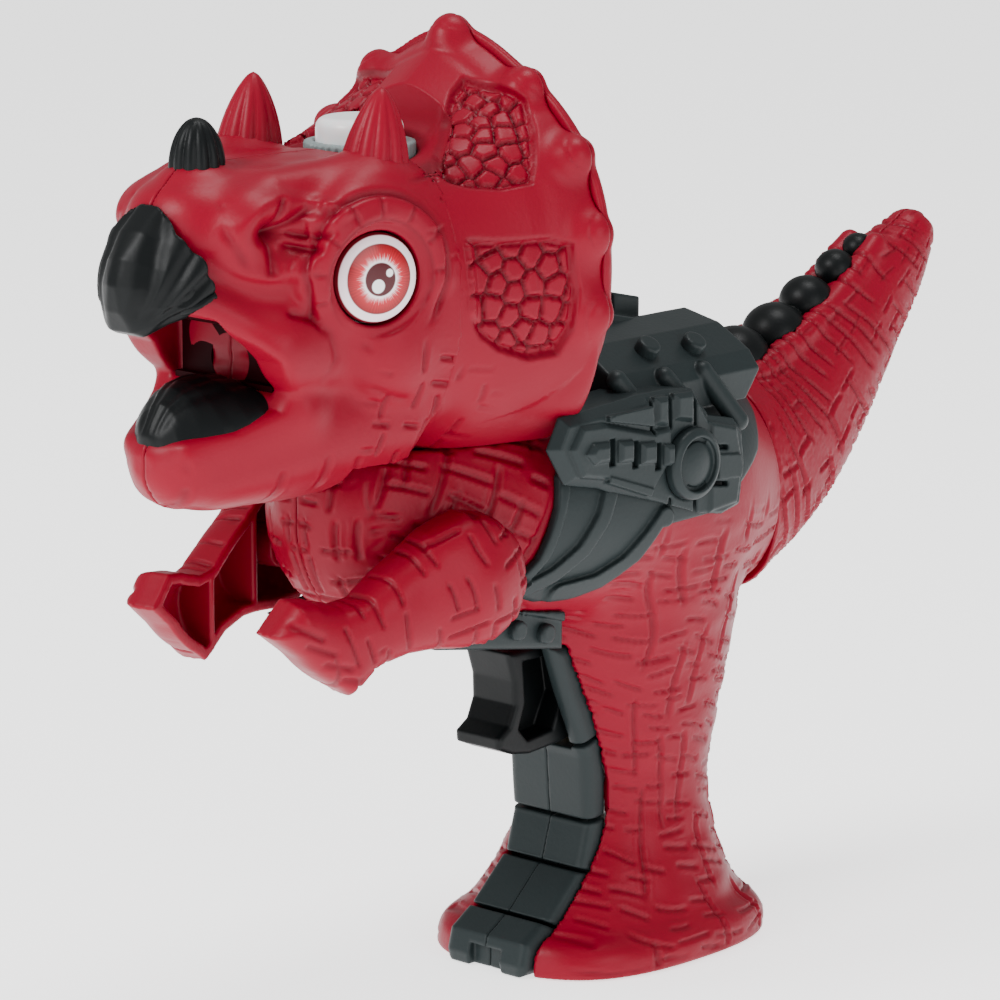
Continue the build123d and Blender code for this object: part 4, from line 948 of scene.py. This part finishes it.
def tail_detail(p, n):
    x, y, _ = p.T
    skin = ramp(tail_form(p), -1.8, -0.8) * ramp(x, 0.3, 1) * ramp(y, 42.5, 43.6)
    _, up, _, run = tail_place(p)
    size = 1.25 - run / 170
    around = np.arctan2(x, up) * 17
    ring = strokes(run + 1.4 * noise(p, 11, 8) + 0.12 * up, around, 4.8, 34, 8, 0.95, 0.62, 0.03)
    long_cut = strokes(around + 1.2 * noise(p, 9, 3), run, 6.6, 9.5, 14, 0.7, 0.55, 0.15)
    deep = np.clip(ring + 0.7 * long_cut, -0.4, 1.1)
    # The second value is painted shade: the colour darkens along the carved rings and cuts.
    return (-0.8 * deep * size + 0.15 * noise(p, 6, 9)) * skin, deep * 0.32 * skin


pair("tail", sculpt(tail_field, (0, 41, 82), (29, 133, 173), 0.62, tail_detail), "red_skin")

STUDS = [(55.2, 140.9, 8.9), (70.8, 145.4, 8.5), (83.4, 152.4, 7), (95, 159.7, 5.2), (104.4, 163.8, 4.3)]


def studs_field(p):
    d = np.full(len(p), 1e9)
    for y, z, r in STUDS:
        d = np.minimum(d, oval(p, (0, y, z), (r * 1.05, r, r)))
    return smax(d, -(tail_form(p) + 0.4), 0.2)


build(
    "tail_studs", sculpt(studs_field, (-10.2, 44, 130), (10.2, 110, 171), 0.6), "black_trim",
    name="tail_balls",
)

# --- arms

ARM = [
    (0, 16.5), (10, 13), (20, 6.5), (29, -0.8), (35, -1.6), (42, 1.6), (47.5, 2.2), (54, -5), (33, -21.6),
    (29.5, -19.5), (25, -15.5), (17, -13.2), (4, -14), (-6, -14), (-13.5, -9), (-16, -1), (-14, 9.5),
    (-8, 15),
]
arm_turn = math.radians(11.5)
ARM_ALONG = np.array([-math.sin(arm_turn), -math.cos(arm_turn), 0])
ARM_OUT = np.array([math.cos(arm_turn), -math.sin(arm_turn), 0])
SHOULDER = np.array([27.5, -80, 110])


def arm_frame(p):
    r = p - SHOULDER
    return r @ ARM_ALONG, r[:, 2], r @ ARM_OUT


def arm_outer(p):
    """The arm's rounded outside: upper arm, forearm and flat-ended hand."""
    u, v, w = arm_frame(p)
    at = np.column_stack([u, v, w])
    shape = outline(u, v, ARM)
    d = smax(shape, w - 11.5, 7)
    upper = smax(oval(at, (-0.8, 0.8, 1), (16.4, 16, 14.6)), shape, 3)
    fore = smax(cone(at, (10, -1.5, 2.5), (36, -9, 2), 10.5, 8.2), shape, 2)
    return smin(smin(d, upper, 4), fore, 4)


def arm_field(p):
    x, y, z = p.T
    u, v, w = arm_frame(p)
    outer = arm_outer(p)
    d = smax(outer, -w, 0.6)
    pocket = smax(outer + 2.6, 5.2 - np.hypot(u, v), 0.5)
    for rib in (12, 30):
        pocket = smax(pocket, 0.9 - np.abs(u - rib), 0.3)
    d = smax(d, -pocket, 0.5)
    peg = smax(np.hypot(y + 80, z - 110) - 2.9, np.abs(x - 20.5) - 8.2, 0.5)
    return np.minimum(d, peg)


def arm_detail(p, n):
    u, v, w = arm_frame(p)
    outside = ramp(arm_outer(p), -1.6, -0.6) * ramp(w, 0.5, 2)
    fingers = np.zeros(len(p))
    for start, end in (
        ((49.5, -2.5), (43, -6)), ((46, -7.5), (39.5, -10)), ((41, -12.5), (35, -14)),
        ((36, -17), (31, -17.5)),
    ):
        fingers = np.maximum(fingers, ridge(line_distance(u, v, [start, end]), 0.8))
    wave = 1.2 * noise(p, 9, 4)
    across = strokes(u - 0.35 * v + wave, v, 5, 11, 61, 0.8, 0.6, 0.1)
    length = strokes(v + 0.3 * u + wave, u, 6, 12, 67, 0.6, 0.6, 0.12)
    net = np.clip(across + length * (1 - ramp(u, 24, 30)), -0.4, 1.1) * outside * (1 - ramp(u, 38, 43))
    deep = np.maximum(net, fingers * outside)
    # The second value is painted shade: the colour darkens along the carved strokes and finger cuts.
    return -0.75 * deep + 0.12 * noise(p, 6, 3) * outside, deep * 0.32


pair("arm", sculpt(arm_field, (8, -141, 86), (45, -58, 129), 0.6, arm_detail), "red_skin", moving=True)

# --- horns and beak


def fluted(angle, count, depth):
    return depth * (np.abs(np.cos(angle * count / 2)) ** 0.7 - 0.6)


def brow_horn_field(p):
    x, y, z = p.T
    t = np.clip((z - 205.5) / 21.5, 0, 1)
    cx, cy = BROW_HORN[0] + 0.4 * t, BROW_HORN[1] + 2.6 * t
    angle = np.arctan2(y - cy, x - cx)
    radius = 7.9 * (1 - t**1.75) ** 0.72 + 0.1
    flutes = fluted(angle, 11, 0.9) * (1 - t**2)
    d = (np.hypot(x - cx, y - cy) - radius - flutes) * 0.85
    d = smax(d, z - 227.2, 1.5)
    return smax(d, 206.4 - z, 0.3)


pair("brow_horn", sculpt(brow_horn_field, (11, -107, 205), (31, -86, 229), 0.42), "red_skin")


def nose_horn_field(p):
    x, y, z = p.T
    t = np.clip((z - 210) / 12, 0, 1)
    angle = np.arctan2(y - NOSE_HORN_Y, x)
    radius = 6.3 * (1 - t**2.1) ** 0.6 + 0.05
    d = (np.hypot(x, y - NOSE_HORN_Y) - radius - fluted(angle, 12, 0.75) * (1 - t**3)) * 0.85
    d = smax(d, z - 221.8, 1.2)
    return smax(d, 209.6 - z, 0.3)


build("nose_horn", sculpt(nose_horn_field, (-8, -141, 209), (8, -126, 223), 0.36), "black_trim")

BEAK = [
    (-136, 181.6), (-136, 200), (-145.2, 205.5), (-148.4, 203.6), (-154, 198.4), (-158.2, 192.6),
    (-160, 186.5), (-159.6, 180.5), (-157.4, 175.8), (-154.6, 174.6), (-150.4, 177.4), (-145.4, 179.8),
    (-141.5, 180.2),
]


def beak_field(p):
    x, y, z = p.T
    side = outline(y, z, BEAK)
    full = 13.0
    fore = np.clip((-143 - y) / 17.6, 0, 0.985)
    width = 16.4 * (1 - fore**1.7) ** 0.75 + 1.2
    d = np.hypot(np.maximum(side + full, 0), x * full / width) - full
    taper = np.sqrt(np.clip((z - 172.8) / 9, 0.02, 1))
    low = smax((np.abs(x) - width * 0.97 * taper) * 0.9, side, 4)
    d = smin(d, smax(low, z - 191, 9), 4)
    d = smax(d, side, 0.5)
    rear = np.interp(z, [178, 183, 188, 193, 198, 204], [-141.2, -142.6, -144.4, -146.4, -149.2, -147.6])
    d = smax(d, (y - rear) * 0.9, 0.8)
    return smax(d, -(face_form(p) - 0.15), 0.4)


def beak_detail(p, n):
    """Flutes that fan out from the tip of the beak to its rear edge."""
    x, y, z = p.T
    fore, up = y + 158.5, z - 173
    reach = np.hypot(fore, up)
    angle = np.degrees(np.arctan2(fore, up)) - 0.5 * (reach - 18)
    deep = np.zeros(len(p))
    for flute in (11, 23, 38, 53):
        deep = np.maximum(deep, ridge((angle - flute) * reach, 75))
    deep *= ramp(np.abs(x), 2.5, 6) * ramp(reach, 4, 9)
    # The second value is painted shade: the colour darkens along the flutes.
    return -deep + 0.06 * noise(p, 5, 1), deep * 0.3


build("upper_beak", sculpt(beak_field, (-19, -161, 173), (19, -142, 208), 0.45, beak_detail), "black_trim")


def lower_beak_field(p):
    _, y, z = p.T
    q = mirrored(p)
    crest = np.interp(
        y, [-150.5, -148.6, -146, -142, -139, -133, -126], [150.6, 154, 157.8, 161, 162.3, 162.8, 162],
    )
    edge = np.interp(y, [-150.5, -137, -129.5, -125], [150.4, 152.6, 156, 158.8])
    width = np.interp(
        y, [-150.8, -149.5, -147, -143, -139, -134, -130, -125],
        [0.6, 3.6, 7.4, 11.4, 14.4, 17.2, 18.2, 16.6],
    )
    fall = np.clip(q[:, 0] / width, 0, 1.2)
    top = crest - (crest - edge) * fall**2
    d = smax((z - top) * 0.8, (q[:, 0] - width) * 0.75, 1.6)
    d = smax(d, edge - 3.4 - z, 1)
    return smax(smax(d, y + 125.6, 2.5), -149.9 - y, 1.2)


def lower_beak_detail(p, n):
    deep = np.zeros(len(p))
    for wide in (3.5, 8.5):
        lane = wide * (0.35 + 0.65 * ramp(p[:, 1], -150, -134))
        deep = np.maximum(deep, ridge(np.abs(p[:, 0]) - lane, 1.2) * ramp(n[:, 2], 0.1, 0.5))
    # The second value is painted shade: the colour darkens along the grooves.
    return -0.45 * deep, deep * 0.2


build(
    "lower_beak", sculpt(lower_beak_field, (-19, -152, 144), (19, -125, 164), 0.45, lower_beak_detail),
    "black_trim",
)

# --- saddle and trim

TRIM_INSET = 0.35


def saddle_height(p):
    """How far the saddle stands off the skin at each point."""
    _, y, z = p.T
    low_edge = line_distance(y, z, [(-17, 117), (-21.5, 112.5), (-28, 106.5), (-36, 102.6), (-46, 101.6)])
    middle = line_distance(y, z, [(-34, 128), (-37.5, 120), (-43, 112.5), (-50, 107), (-58, 103.5)])
    front = line_distance(y, z, [(-47, 134), (-49.6, 126), (-54, 113), (-60, 104.6)])
    bands = 1.5 * (1 - ramp(low_edge, 2.4, 2.9)) + 1.5 * (1 - ramp(middle, 1.8, 2.3))
    return 1.5 + (bands + 1.1 * (1 - ramp(front, 1.6, 2.2)))


def saddle_field(p):
    x, y, z = p.T
    base = body_form(p)
    d = base - saddle_height(p)
    panel = outline(
        np.abs(x), z,
        [(11, 160), (21.5, 157.6), (30.6, 151.6), (33.2, 147.4), (32.5, 140), (24, 138), (11, 140)],
    )
    edge = outline(y, z, [(-27, 170), (-27, 138), (20, 138), (25.5, 146.5), (24.5, 153), (21, 170)])
    d = smin(d, smax(panel, edge, 0.8), 0.5)
    for top, low in (
        ((32.6, -27, 151), (36.6, -19.5, 140)), ((32.6, -9.8, 149.5), (36.8, -2.5, 139)),
        ((32, 5, 149), (36.2, 13.5, 136)),
    ):
        d = smin(d, cone(mirrored(p), top, low, 2.5, 2.7), 0.5)
    d = smax(d, outline(y, z, SADDLE), 0.8)
    d = smax(d, -(base - TRIM_INSET), 0.3)
    d = smax(d, -box(p, (-34.5, -70, NECK_Z - 0.4), (34.5, -45, 172)), 0.3)
    return smax(d, SPLIT_GAP - x, 0.3)


def trim_detail(p, n):
    return 0.04 * noise(p, 5, 1), np.zeros(len(p))


pair("saddle", sculpt(saddle_field, (0, -60, 96), (42, 42, 162), 0.5, trim_detail, smooth=1), "dark_trim")

RAIL = [
    (-14, 147), (-9, 157.6), (-5, 161.8), (22.5, 155.2), (27, 149.6), (37, 149.5), (40.6, 146),
    (40.6, 140), (-14, 140),
]


def rail_field(p):
    _, y, _ = p.T
    d = slab(p, RAIL, 12.2, 1)
    lug = slab(p, [(3, 155), (3, 165.4), (12.6, 163.2), (12.6, 155)], 5, 0.8)
    d = smin(d, lug, 0.4)
    cap = slab(p, [(-7, 150), (-3.5, 159.3), (21, 153.4), (24, 149)], 13.4, 0.8)
    d = smin(d, cap, 0.4)
    d = smax(d, y - 41.7, 0.3)
    return smax(d, -(torso(p) - 3.1), 0.3)


build(
    "saddle_rail", sculpt(rail_field, (-14, -15, 139), (14, 42, 166), 0.55, trim_detail, smooth=1),
    "dark_trim",
)


def belly_field(p):
    x, y, z = p.T
    base = body_form(p)
    side = [
        (-92.3, 96.4), (-75, 99.6), (-57.3, 101.8), (-34.2, 94.6), (-34.2, 84.4), (-60, 88.8), (-78, 91.8),
    ]
    d = slab(p, side, 22.3, 1.4)
    bar = outline(y, z, [(-64, 99.6), (-57.3, 101.2), (-34.6, 94), (-34.6, 91.6), (-57, 98.2), (-64, 97.4)])
    d = smin(d, smax(bar, np.abs(x) - 23.2, 0.4), 0.2)
    d = smax(d, -(base - TRIM_INSET), 0.3)
    return smax(d, -inlay_space(p), 0.3)


build(
    "belly_plate", sculpt(belly_field, (-25, -94, 82), (25, -33, 104), 0.55, trim_detail, smooth=1),
    "dark_trim",
)

PLATE = [
    (-58.6, 139.3), (-54.4, 146.6), (-43.5, 147.2), (-26.5, 148.4), (-16, 148.2), (-7, 147.2),
    (-1.6, 139.8), (8.6, 137.6), (11.2, 135), (12.2, 126.2), (10.4, 115.4), (3, 113.6), (-6.5, 114.6),
    (-16.5, 118), (-26.5, 121.8), (-40.5, 127.6), (-52.6, 130.2),
]
FACE = 42.5
DISC = (-10, 129.5)


def pad(shape, x, top, shoulder):
    """A flat pad with a chamfer that starts at shoulder."""
    return np.maximum(np.maximum(shape, x - top), (shape + (x - shoulder)) / 1.41)


def plate_field(p):
    x, y, z = p.T
    shape = outline(y, z, PLATE)
    d = np.maximum(np.maximum(shape, x - (FACE - 1.3)), (shape + (x - (FACE - 3.7)) * 0.9) / 1.35)
    shield = outline(
        y, z,
        [
            (-53.4, 139), (-49.6, 144.2), (-41.5, 143.8), (-25, 139.4), (-18, 139.8), (-17, 132),
            (-24.5, 124.6), (-40.8, 130), (-49.6, 131.8),
        ],
    )
    d = smin(d, pad(shield, x, FACE, FACE - 0.9), 0.2)
    for top in (
        [(-40.5, 145.4), (-25.4, 145.8), (-24.6, 140.8), (-40.5, 144.2)],
        [(-40.8, 129.4), (-25.6, 123.8), (-24.6, 125.6), (-40.2, 130.9)],
    ):
        bar = outline(y, z, top)
        d = smin(d, np.maximum(bar, x - (FACE + 0.3)), 0.3)
    for low, high in ((-23.2, -18.4), (-16.2, -9.2)):
        block = outline(y, z, [(low, 141), (low, 147.4), (high, 147.2), (high, 139.5)])
        d = smin(d, pad(block, x, FACE - 0.1, FACE - 1.2), 0.2)
    rear = outline(y, z, [(-3.2, 139), (7.2, 136.2), (9.4, 126.2), (7.6, 117), (-3, 116), (-3, 139)])
    d = smin(d, pad(rear, x, FACE - 0.6, FACE - 1.4), 0.2)
    step = outline(y, z, [(-0.5, 130.4), (7.6, 129.4), (8.6, 126), (7.9, 123.6), (-0.5, 124.2)])
    d = smin(d, np.maximum(step, x - FACE), 0.2)
    nose = outline(y, z, [(-49.2, 137.5), (-46.6, 139.8), (-41, 139.4), (-41, 134.6), (-46.2, 134.6)])
    d = smin(d, pad(nose, x, FACE + 1.6, FACE + 0.5), 0.2)
    for low, high in ((-38, -32.6), (-30, -24.4), (-21.6, -17.8)):
        mid = 136.4 + (low + 38) * -0.19
        block = outline(y, z, [(low, mid + 2.7), (high, mid + 2.2), (high, mid - 3), (low, mid - 2.5)])
        d = smin(d, pad(block, x, FACE + 1.5, FACE + 0.6), 0.2)
    for y0, z0 in ((-39.5, 136.6), (-31.3, 134.9), (-23, 133.2)):
        slit = np.maximum(np.abs(y - y0) - 1.15, np.abs(z - z0) - 3.3)
        d = np.maximum(d, -np.maximum(slit, FACE - 1.9 - x))
    for y0, z0, y1, z1 in (
        (-24.4, 147.6, -24, 139), (-17.4, 149, -17, 139.4), (-8.2, 149, -8, 138.8),
        (-17.2, 121.5, -17, 116), (-8, 120.4, -7.8, 113.5), (-2.4, 132.4, 3, 131.6),
        (-2.4, 123.4, 3, 122.6),
    ):
        d = np.maximum(d, -np.maximum(line_distance(y, z, [(y0, z0), (y1, z1)]) - 0.62, FACE - 2.6 - x))
    disc = np.hypot(y - DISC[0], z - DISC[1])
    d = np.maximum(d, -np.maximum(disc - 9, FACE - 1.6 - x))
    d = smax(d, -(body_form(p) - 3.3), 0.3)
    d = smax(d, -box(p, (0, -70, NECK_Z - 0.4), (34, -45, 172)), 0.3)
    d = smax(d, -box(p, (0, -70, 100), (38.2, -48.5, 150)), 0.3)
    return smax(d, 27.0 - x, 0.3)


pair(
    "side_plate", sculpt(plate_field, (26, -60, 112), (45, 14, 150), 0.38, trim_detail, smooth=0),
    "dark_trim",
)


def disc_field(p):
    x, y, z = mirrored(p).T
    r = np.hypot(y - DISC[0], z - DISC[1])
    rim = smax(r - 8.8, x - (FACE + 1.9) + np.clip(r - 7.2, 0, 2) * 0.5, 0.8)
    d = smax(rim, -smax(r - 6.6, -(x - FACE - 0.7), 0.5), 0.4)
    hub = oval(mirrored(p), (FACE - 0.4, DISC[0], DISC[1]), (2.3, 6.4, 6.4))
    d = smin(d, smax(hub, FACE - 1 - x, 0.3), 0.3)
    angle = np.abs(np.degrees(np.arctan2(y - DISC[0], np.abs(z - DISC[1]))))
    arc = np.maximum(np.maximum(np.abs(r - 6) - 0.55, (angle - 36) * 0.1), FACE + 0.2 - x)
    return smax(np.maximum(d, -arc), FACE - 1.5 - x, 0.2)


verts, faces, _ = sculpt(disc_field, (40, -20, 120), (46, 0, 140), 0.34, smooth=1)
both_verts = np.concatenate([verts, verts * [-1, 1, 1]])
both_faces = np.concatenate([faces, faces[:, ::-1] + len(verts)])
build("side_discs", (both_verts, both_faces, np.zeros(len(both_verts))), "dark_trim")


def stud_field(p):
    q = mirrored(p)
    d = np.full(len(p), 1e9)
    for centre, axis, r, tall in (
        ((26.6, -9, 156), (0.55, 0, 0.83), 3, 3.4),
        ((27.6, 6.8, 155), (0.55, 0, 0.83), 3, 4.4),
        ((22.8, -41.5, 89.8), (1, 0, 0), 2.5, 2.4),
        ((22.8, -51.5, 92.3), (1, 0, 0), 2.5, 2.4),
    ):
        a = np.array(axis, float) / np.linalg.norm(axis)
        r0 = q - np.array(centre, float)
        along = r0 @ a
        out = np.linalg.norm(r0 - along[:, None] * a, axis=1)
        d = np.minimum(d, smax(smax(out - r, along - 1.6, 1), -along - tall, 0.2))
    return d


build("saddle_studs", sculpt(stud_field, (-31, -61, 86), (31, 11, 159), 0.45, None, smooth=1), "dark_trim")

# --- grip inlay and trigger


def inlay_field(p):
    x, y, z = p.T
    d = slab(p, INLAY, 13.4, 3)
    for y0, z0, y1, z1 in (
        (-22, 53.2, -10, 57.5), (-20, 34.6, -8, 35.8), (-22.5, 25, -12, 21.5), (-33, 14.2, -24.5, 9.4),
    ):
        d = smax(d, -(line_distance(y, z, [(y0, z0), (y1, z1)]) - 0.5), 0.5)
    toe = box(p, (-5.2, -42, -1), (5.2, -36.6, 5.6))
    d = smax(d, -toe, 0.6)
    d = smax(d, -box(p, (-9.1, -60, 53.9), (9.1, -4, 84)), 0.4)
    d = smax(d, -slab(p, [(-60, 60), (-60, 90), (-24, 90), (-14, 60)], 9.2, 0.3), 0.3)
    return smax(d, SPLIT_GAP - x, 0.3)


pair("grip_inlay", sculpt(inlay_field, (0, -41, 0), (15, -7, 83), 0.5, trim_detail, smooth=1), "dark_trim")

TRIGGER = [
    (-38, 81.4), (-35.6, 74), (-35.4, 68), (-37.6, 63), (-41.4, 60.6), (-41.2, 57.8), (-36, 55.6),
    (-30, 54.6), (-18, 55.6), (-9.1, 58), (-9.1, 79), (-17, 81.4),
]
TRIGGER_SIDE = [(-32.6, 78.5), (-31.8, 68), (-34.2, 61.8), (-31, 58.4), (-22, 59.5), (-18, 68), (-20, 78.5)]


def trigger_field(p):
    x, y, z = p.T
    d = slab(p, TRIGGER, 7.6, 1.6)
    d = smax(d, -smax(outline(y, z, TRIGGER_SIDE), 1.2 - np.abs(x), 0.4), 0.8)
    return smax(d, -smax(np.hypot(x, z - SPRING_Z) - 3.9, -13.8 - y, 0.3), 0.3)


build(
    "trigger", sculpt(trigger_field, (-9, -46, 54), (9, -9, 82), 0.5, trim_detail, smooth=1), "black_trim",
    "trigger",
)


def door_field(p):
    x, y, z = p.T
    wall = smax(body_form(p), -(body_form(p) + WALL), 0.3)
    d = smax(wall, box(p, (-9.7, 20, 12.3), (9.7, 60, 53.7)), 0.4)
    screw = np.hypot(x, z - 50)
    d = smax(d, 1.5 - screw, 0.2)
    return smax(d, -smax(screw - 2.7, 34.0 - y, 0.2), 0.2)


def door_detail(p, n):
    skin = ramp(body_form(p), -1.6, -0.6)
    net = leg_strokes(p) * skin
    # The second value is painted shade: the colour darkens along the carved strokes.
    return -0.6 * net, net * 0.45


build(
    "battery_door", sculpt(door_field, (-10, 26, 12), (10, 47, 54), 0.6, door_detail), "red_skin",
    "battery_door",
)

# --- eyes


def eye_finish():
    # The eye's colours come from a per-point attribute: print, with two painted highlights on it.
    nodes, links, shader = new_finish("eye_print", {
        "Roughness": 0.25, "Coat Weight": 0.12, "Coat Roughness": 0.08, "Specular IOR Level": 0.3,
    })
    ink_and_glint = nodes.new("ShaderNodeAttribute")
    ink_and_glint.attribute_name = "ink_and_glint"
    wash = textured(nodes, links, nodes.new("ShaderNodeTexCoord"), 300, 2)
    mix = mixer(nodes, "MULTIPLY")
    mix.inputs["Factor"].default_value = 0.06
    links.new(ink_and_glint.outputs["Color"], mix.inputs["A"])
    links.new(wash.outputs["Color"], mix.inputs["B"])
    links.new(mix.outputs["Result"], shader.inputs["Base Color"])


def overlaid(colour, ink_and_glint, cover):
    """The colour with a layer laid over it, where cover is 1: print, and for the two glints a painted
    highlight.
    """
    return colour + (np.array(ink_and_glint) - colour) * cover[:, None]


eye_finish()
UP = np.array([0, 0, 1])
EYE_RADIUS = 10.4
EYE_DEPTH = 4
RAY_WHITE = (0.95, 0.85, 0.87)
GLINT_WHITE = (0.95, 0.95, 0.95)
RIM_RED = srgb(110, 20, 34)[:3]
rings, spokes = 120, 360
radius = np.linspace(0, EYE_RADIUS, rings)
angle = np.linspace(0, 2 * math.pi, spokes, endpoint=False)
rr, aa = np.meshgrid(radius[1:], angle, indexing="ij")
rr, aa = np.append(0, rr.ravel()), np.append(0, aa.ravel())
dome = 3.0 * np.sqrt(np.clip(1 - (rr / EYE_RADIUS) ** 2 * 0.93, 0, 1)) - 1.2
dome = np.where(rr > 10, dome - (rr - 10) * 1.2, dome)
fore, up = rr * np.cos(aa), rr * np.sin(aa)
front_eye = EYE + fore[:, None] * EYE_FORE + up[:, None] * UP + dome[:, None] * EYE_OUT
rim_fore, rim_up = EYE_RADIUS * np.cos(angle), EYE_RADIUS * np.sin(angle)
rear_rim = EYE + rim_fore[:, None] * EYE_FORE + rim_up[:, None] * UP - EYE_DEPTH * EYE_OUT
verts = np.concatenate([front_eye, rear_rim, [EYE - EYE_DEPTH * EYE_OUT]])
faces = []
for s in range(spokes):
    nxt = (s + 1) % spokes
    faces.append((0, 1 + nxt, 1 + s))
    for r in range(rings - 2):
        a, b = 1 + r * spokes, 1 + (r + 1) * spokes
        faces.append((a + s, a + nxt, b + nxt, b + s))
    last = 1 + (rings - 2) * spokes
    rear = len(front_eye)
    faces.append((last + s, last + nxt, rear + nxt, rear + s))
    faces.append((rear + s, rear + nxt, len(verts) - 1))
RAYS = 90
ray_length = 4.9 + 1.1 * np.random.default_rng(5).random(RAYS)
ray_at = aa / (2 * math.pi) * RAYS
ray_across = np.abs(ray_at % 1 - 0.5) * 2
ray_reach = (rr - 3.9) / (ray_length[ray_at.astype(int) % RAYS] - 3.9)
white_ray = 1.15 - ray_reach - ray_across * (0.35 + 0.7 * np.clip(ray_reach, 0, 1))
white_ray = np.clip(white_ray, 0, 1) * (rr > 3.6)
dark_ray = 0.35 * np.abs(np.sin(aa * 41 + 2 * np.sin(aa * 7))) * ramp(rr, 4.6, 6)
colour = np.tile(srgb(210, 30, 48)[:3], (len(rr), 1))
colour = overlaid(colour, srgb(160, 6, 22)[:3], ramp(rr, 5.2, 7.8)) * (1 - dark_ray)[:, None]
colour = overlaid(colour, RAY_WHITE, np.clip(white_ray * 1.5, 0, 1))
colour = overlaid(colour, srgb(72, 5, 15)[:3], 1 - ramp(rr, 3.7, 4))
colour = overlaid(colour, srgb(110, 8, 20)[:3], ridge(rr - 7.9, 0.22) * 0.8)
colour = overlaid(colour, srgb(244, 226, 232)[:3], ramp(rr, 7.95, 8.2))
colour = overlaid(colour, RIM_RED, ramp(rr, 9.75, 10.05))
# The two white dots over the pupil are painted highlights.
for glint_fore, glint_up, size in ((0.6, -1.55, 1.65), (-2.3, 1.35, 0.95)):
    away = np.hypot(fore - glint_fore, up - glint_up)
    colour = overlaid(colour, GLINT_WHITE, 1 - ramp(away, size - 0.2, size + 0.1))
# Print colours and the painted highlights together, with rim red for the back.
ink_and_glint = np.concatenate([colour, np.tile(RIM_RED, (spokes + 1, 1))])
for side_name, sign in (("left", 1), ("right", -1)):
    mesh = bpy.data.meshes.new("eye_" + side_name)
    ordered = [f[::-1] for f in faces] if sign > 0 else faces
    mesh.from_pydata((verts * [sign, 1, 1] * MM).tolist(), [], ordered)
    mesh.polygons.foreach_set("use_smooth", np.ones(len(mesh.polygons), bool))
    layer = mesh.attributes.new("ink_and_glint", "FLOAT_COLOR", "POINT")
    layer.data.foreach_set("color", np.column_stack([ink_and_glint, np.ones(len(ink_and_glint))]).astype(np.float32).ravel())
    mesh.materials.append(FINISHES["eye_print"])
    eye = bpy.data.objects.new("eye_" + side_name + "_dome", mesh)
    bpy.context.scene.collection.objects.link(eye)
    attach(eye, "shell")
    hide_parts("eye_" + side_name)

# --- bottle and collar


def well_field(p):
    x, y, z = p.T
    r = np.hypot(x, y - BOTTLE_Y)
    angle = np.arctan2(y - BOTTLE_Y, x)
    ribs = 0.35 * np.cos(angle * 40) * ramp(z, 206.5, 207.4)
    d = smax(r - 12.1, 168.3 - z, 0.6)
    d = smin(d, smax((r - 12.85 - ribs) * 0.8, np.abs(z - 209.3) - 2.2, 0.6), 0.3)
    d = smax(d, z - 211.5, 0.5)
    d = smax(d, -smax(r - 10.6, 180.0 - z, 0.3), 0.4)
    return smax(d, -smax(r - 6.6, 170.2 - z, 0.3), 0.3)


build(
    "bottle_well", sculpt(well_field, (-14, -95, 168), (14, -67, 212), 0.5), "grey_collar",
    name="bottle_collar",
)


def bottle_field(p):
    x, y, z = p.T
    r = np.hypot(x, y - BOTTLE_Y)
    d = smax(smax(r - 10.35, z - 217, 3.2), 182.1 - z, 2)
    d = smin(d, smax(r - 4.7, np.abs(z - 179) - 4.8, 0.3), 0.6)
    inner = smax(smax(r - 9.2, z - 215.8, 2.5), 183.3 - z, 1.5)
    inner = smin(inner, smax(r - 3.5, np.abs(z - 179) - 9, 0.3), 0.5)
    return smax(d, -inner, 0.3)


build(
    "solution_bottle", sculpt(bottle_field, (-11, -92, 173), (11, -70, 218), 0.55), "milky_plastic",
    "bottle",
)

# --- studio


FLOOR_HALF = 8
FLOOR_DROP = 0.0004
new_finish("floor", {
    "Base Color": (0.9, 0.9, 0.9, 1), "Roughness": 0.9,
    "Emission Color": (1, 1, 1, 1), "Emission Strength": 1.6,
})
corners = [(-1, -1), (1, -1), (1, 1), (-1, 1)]
floor_mesh = bpy.data.meshes.new("floor")
floor_mesh.from_pydata(
    [(i * FLOOR_HALF, j * FLOOR_HALF, -FLOOR_DROP) for i, j in corners], [], [(0, 1, 2, 3)],
)
floor_mesh.materials.append(FINISHES["floor"])
floor = bpy.data.objects.new("floor", floor_mesh)
bpy.context.scene.collection.objects.link(floor)

world = bpy.data.worlds.new("studio")
bpy.context.scene.world = world
world.use_nodes = True
sky = world.node_tree.nodes["Background"]
sky.inputs["Color"].default_value = (1, 1, 1, 1)
sky.inputs["Strength"].default_value = 0.5


for name, place, target, size, power in (
    ("key", (-0.25, -1.05, 1), (0, -0.05, 0.14), 0.4, 13),
    ("fill", (1.25, -0.25, 0.5), (0, 0, 0.12), 0.7, 5),
    ("front", (0.05, -1.35, 0.32), (0, -0.05, 0.13), 0.7, 4),
    ("top", (0.05, 0.1, 1.3), (0, 0, 0.12), 0.5, 8),
):
    data = bpy.data.lights.new(name, "AREA")
    data.energy = power
    data.shape = "DISK"
    data.size = size
    light = bpy.data.objects.new(name, data)
    bpy.context.scene.collection.objects.link(light)
    light.location = place
    light.rotation_mode = "QUATERNION"
    light.rotation_quaternion = (Vector(target) - Vector(place)).to_track_quat("-Z", "Y")
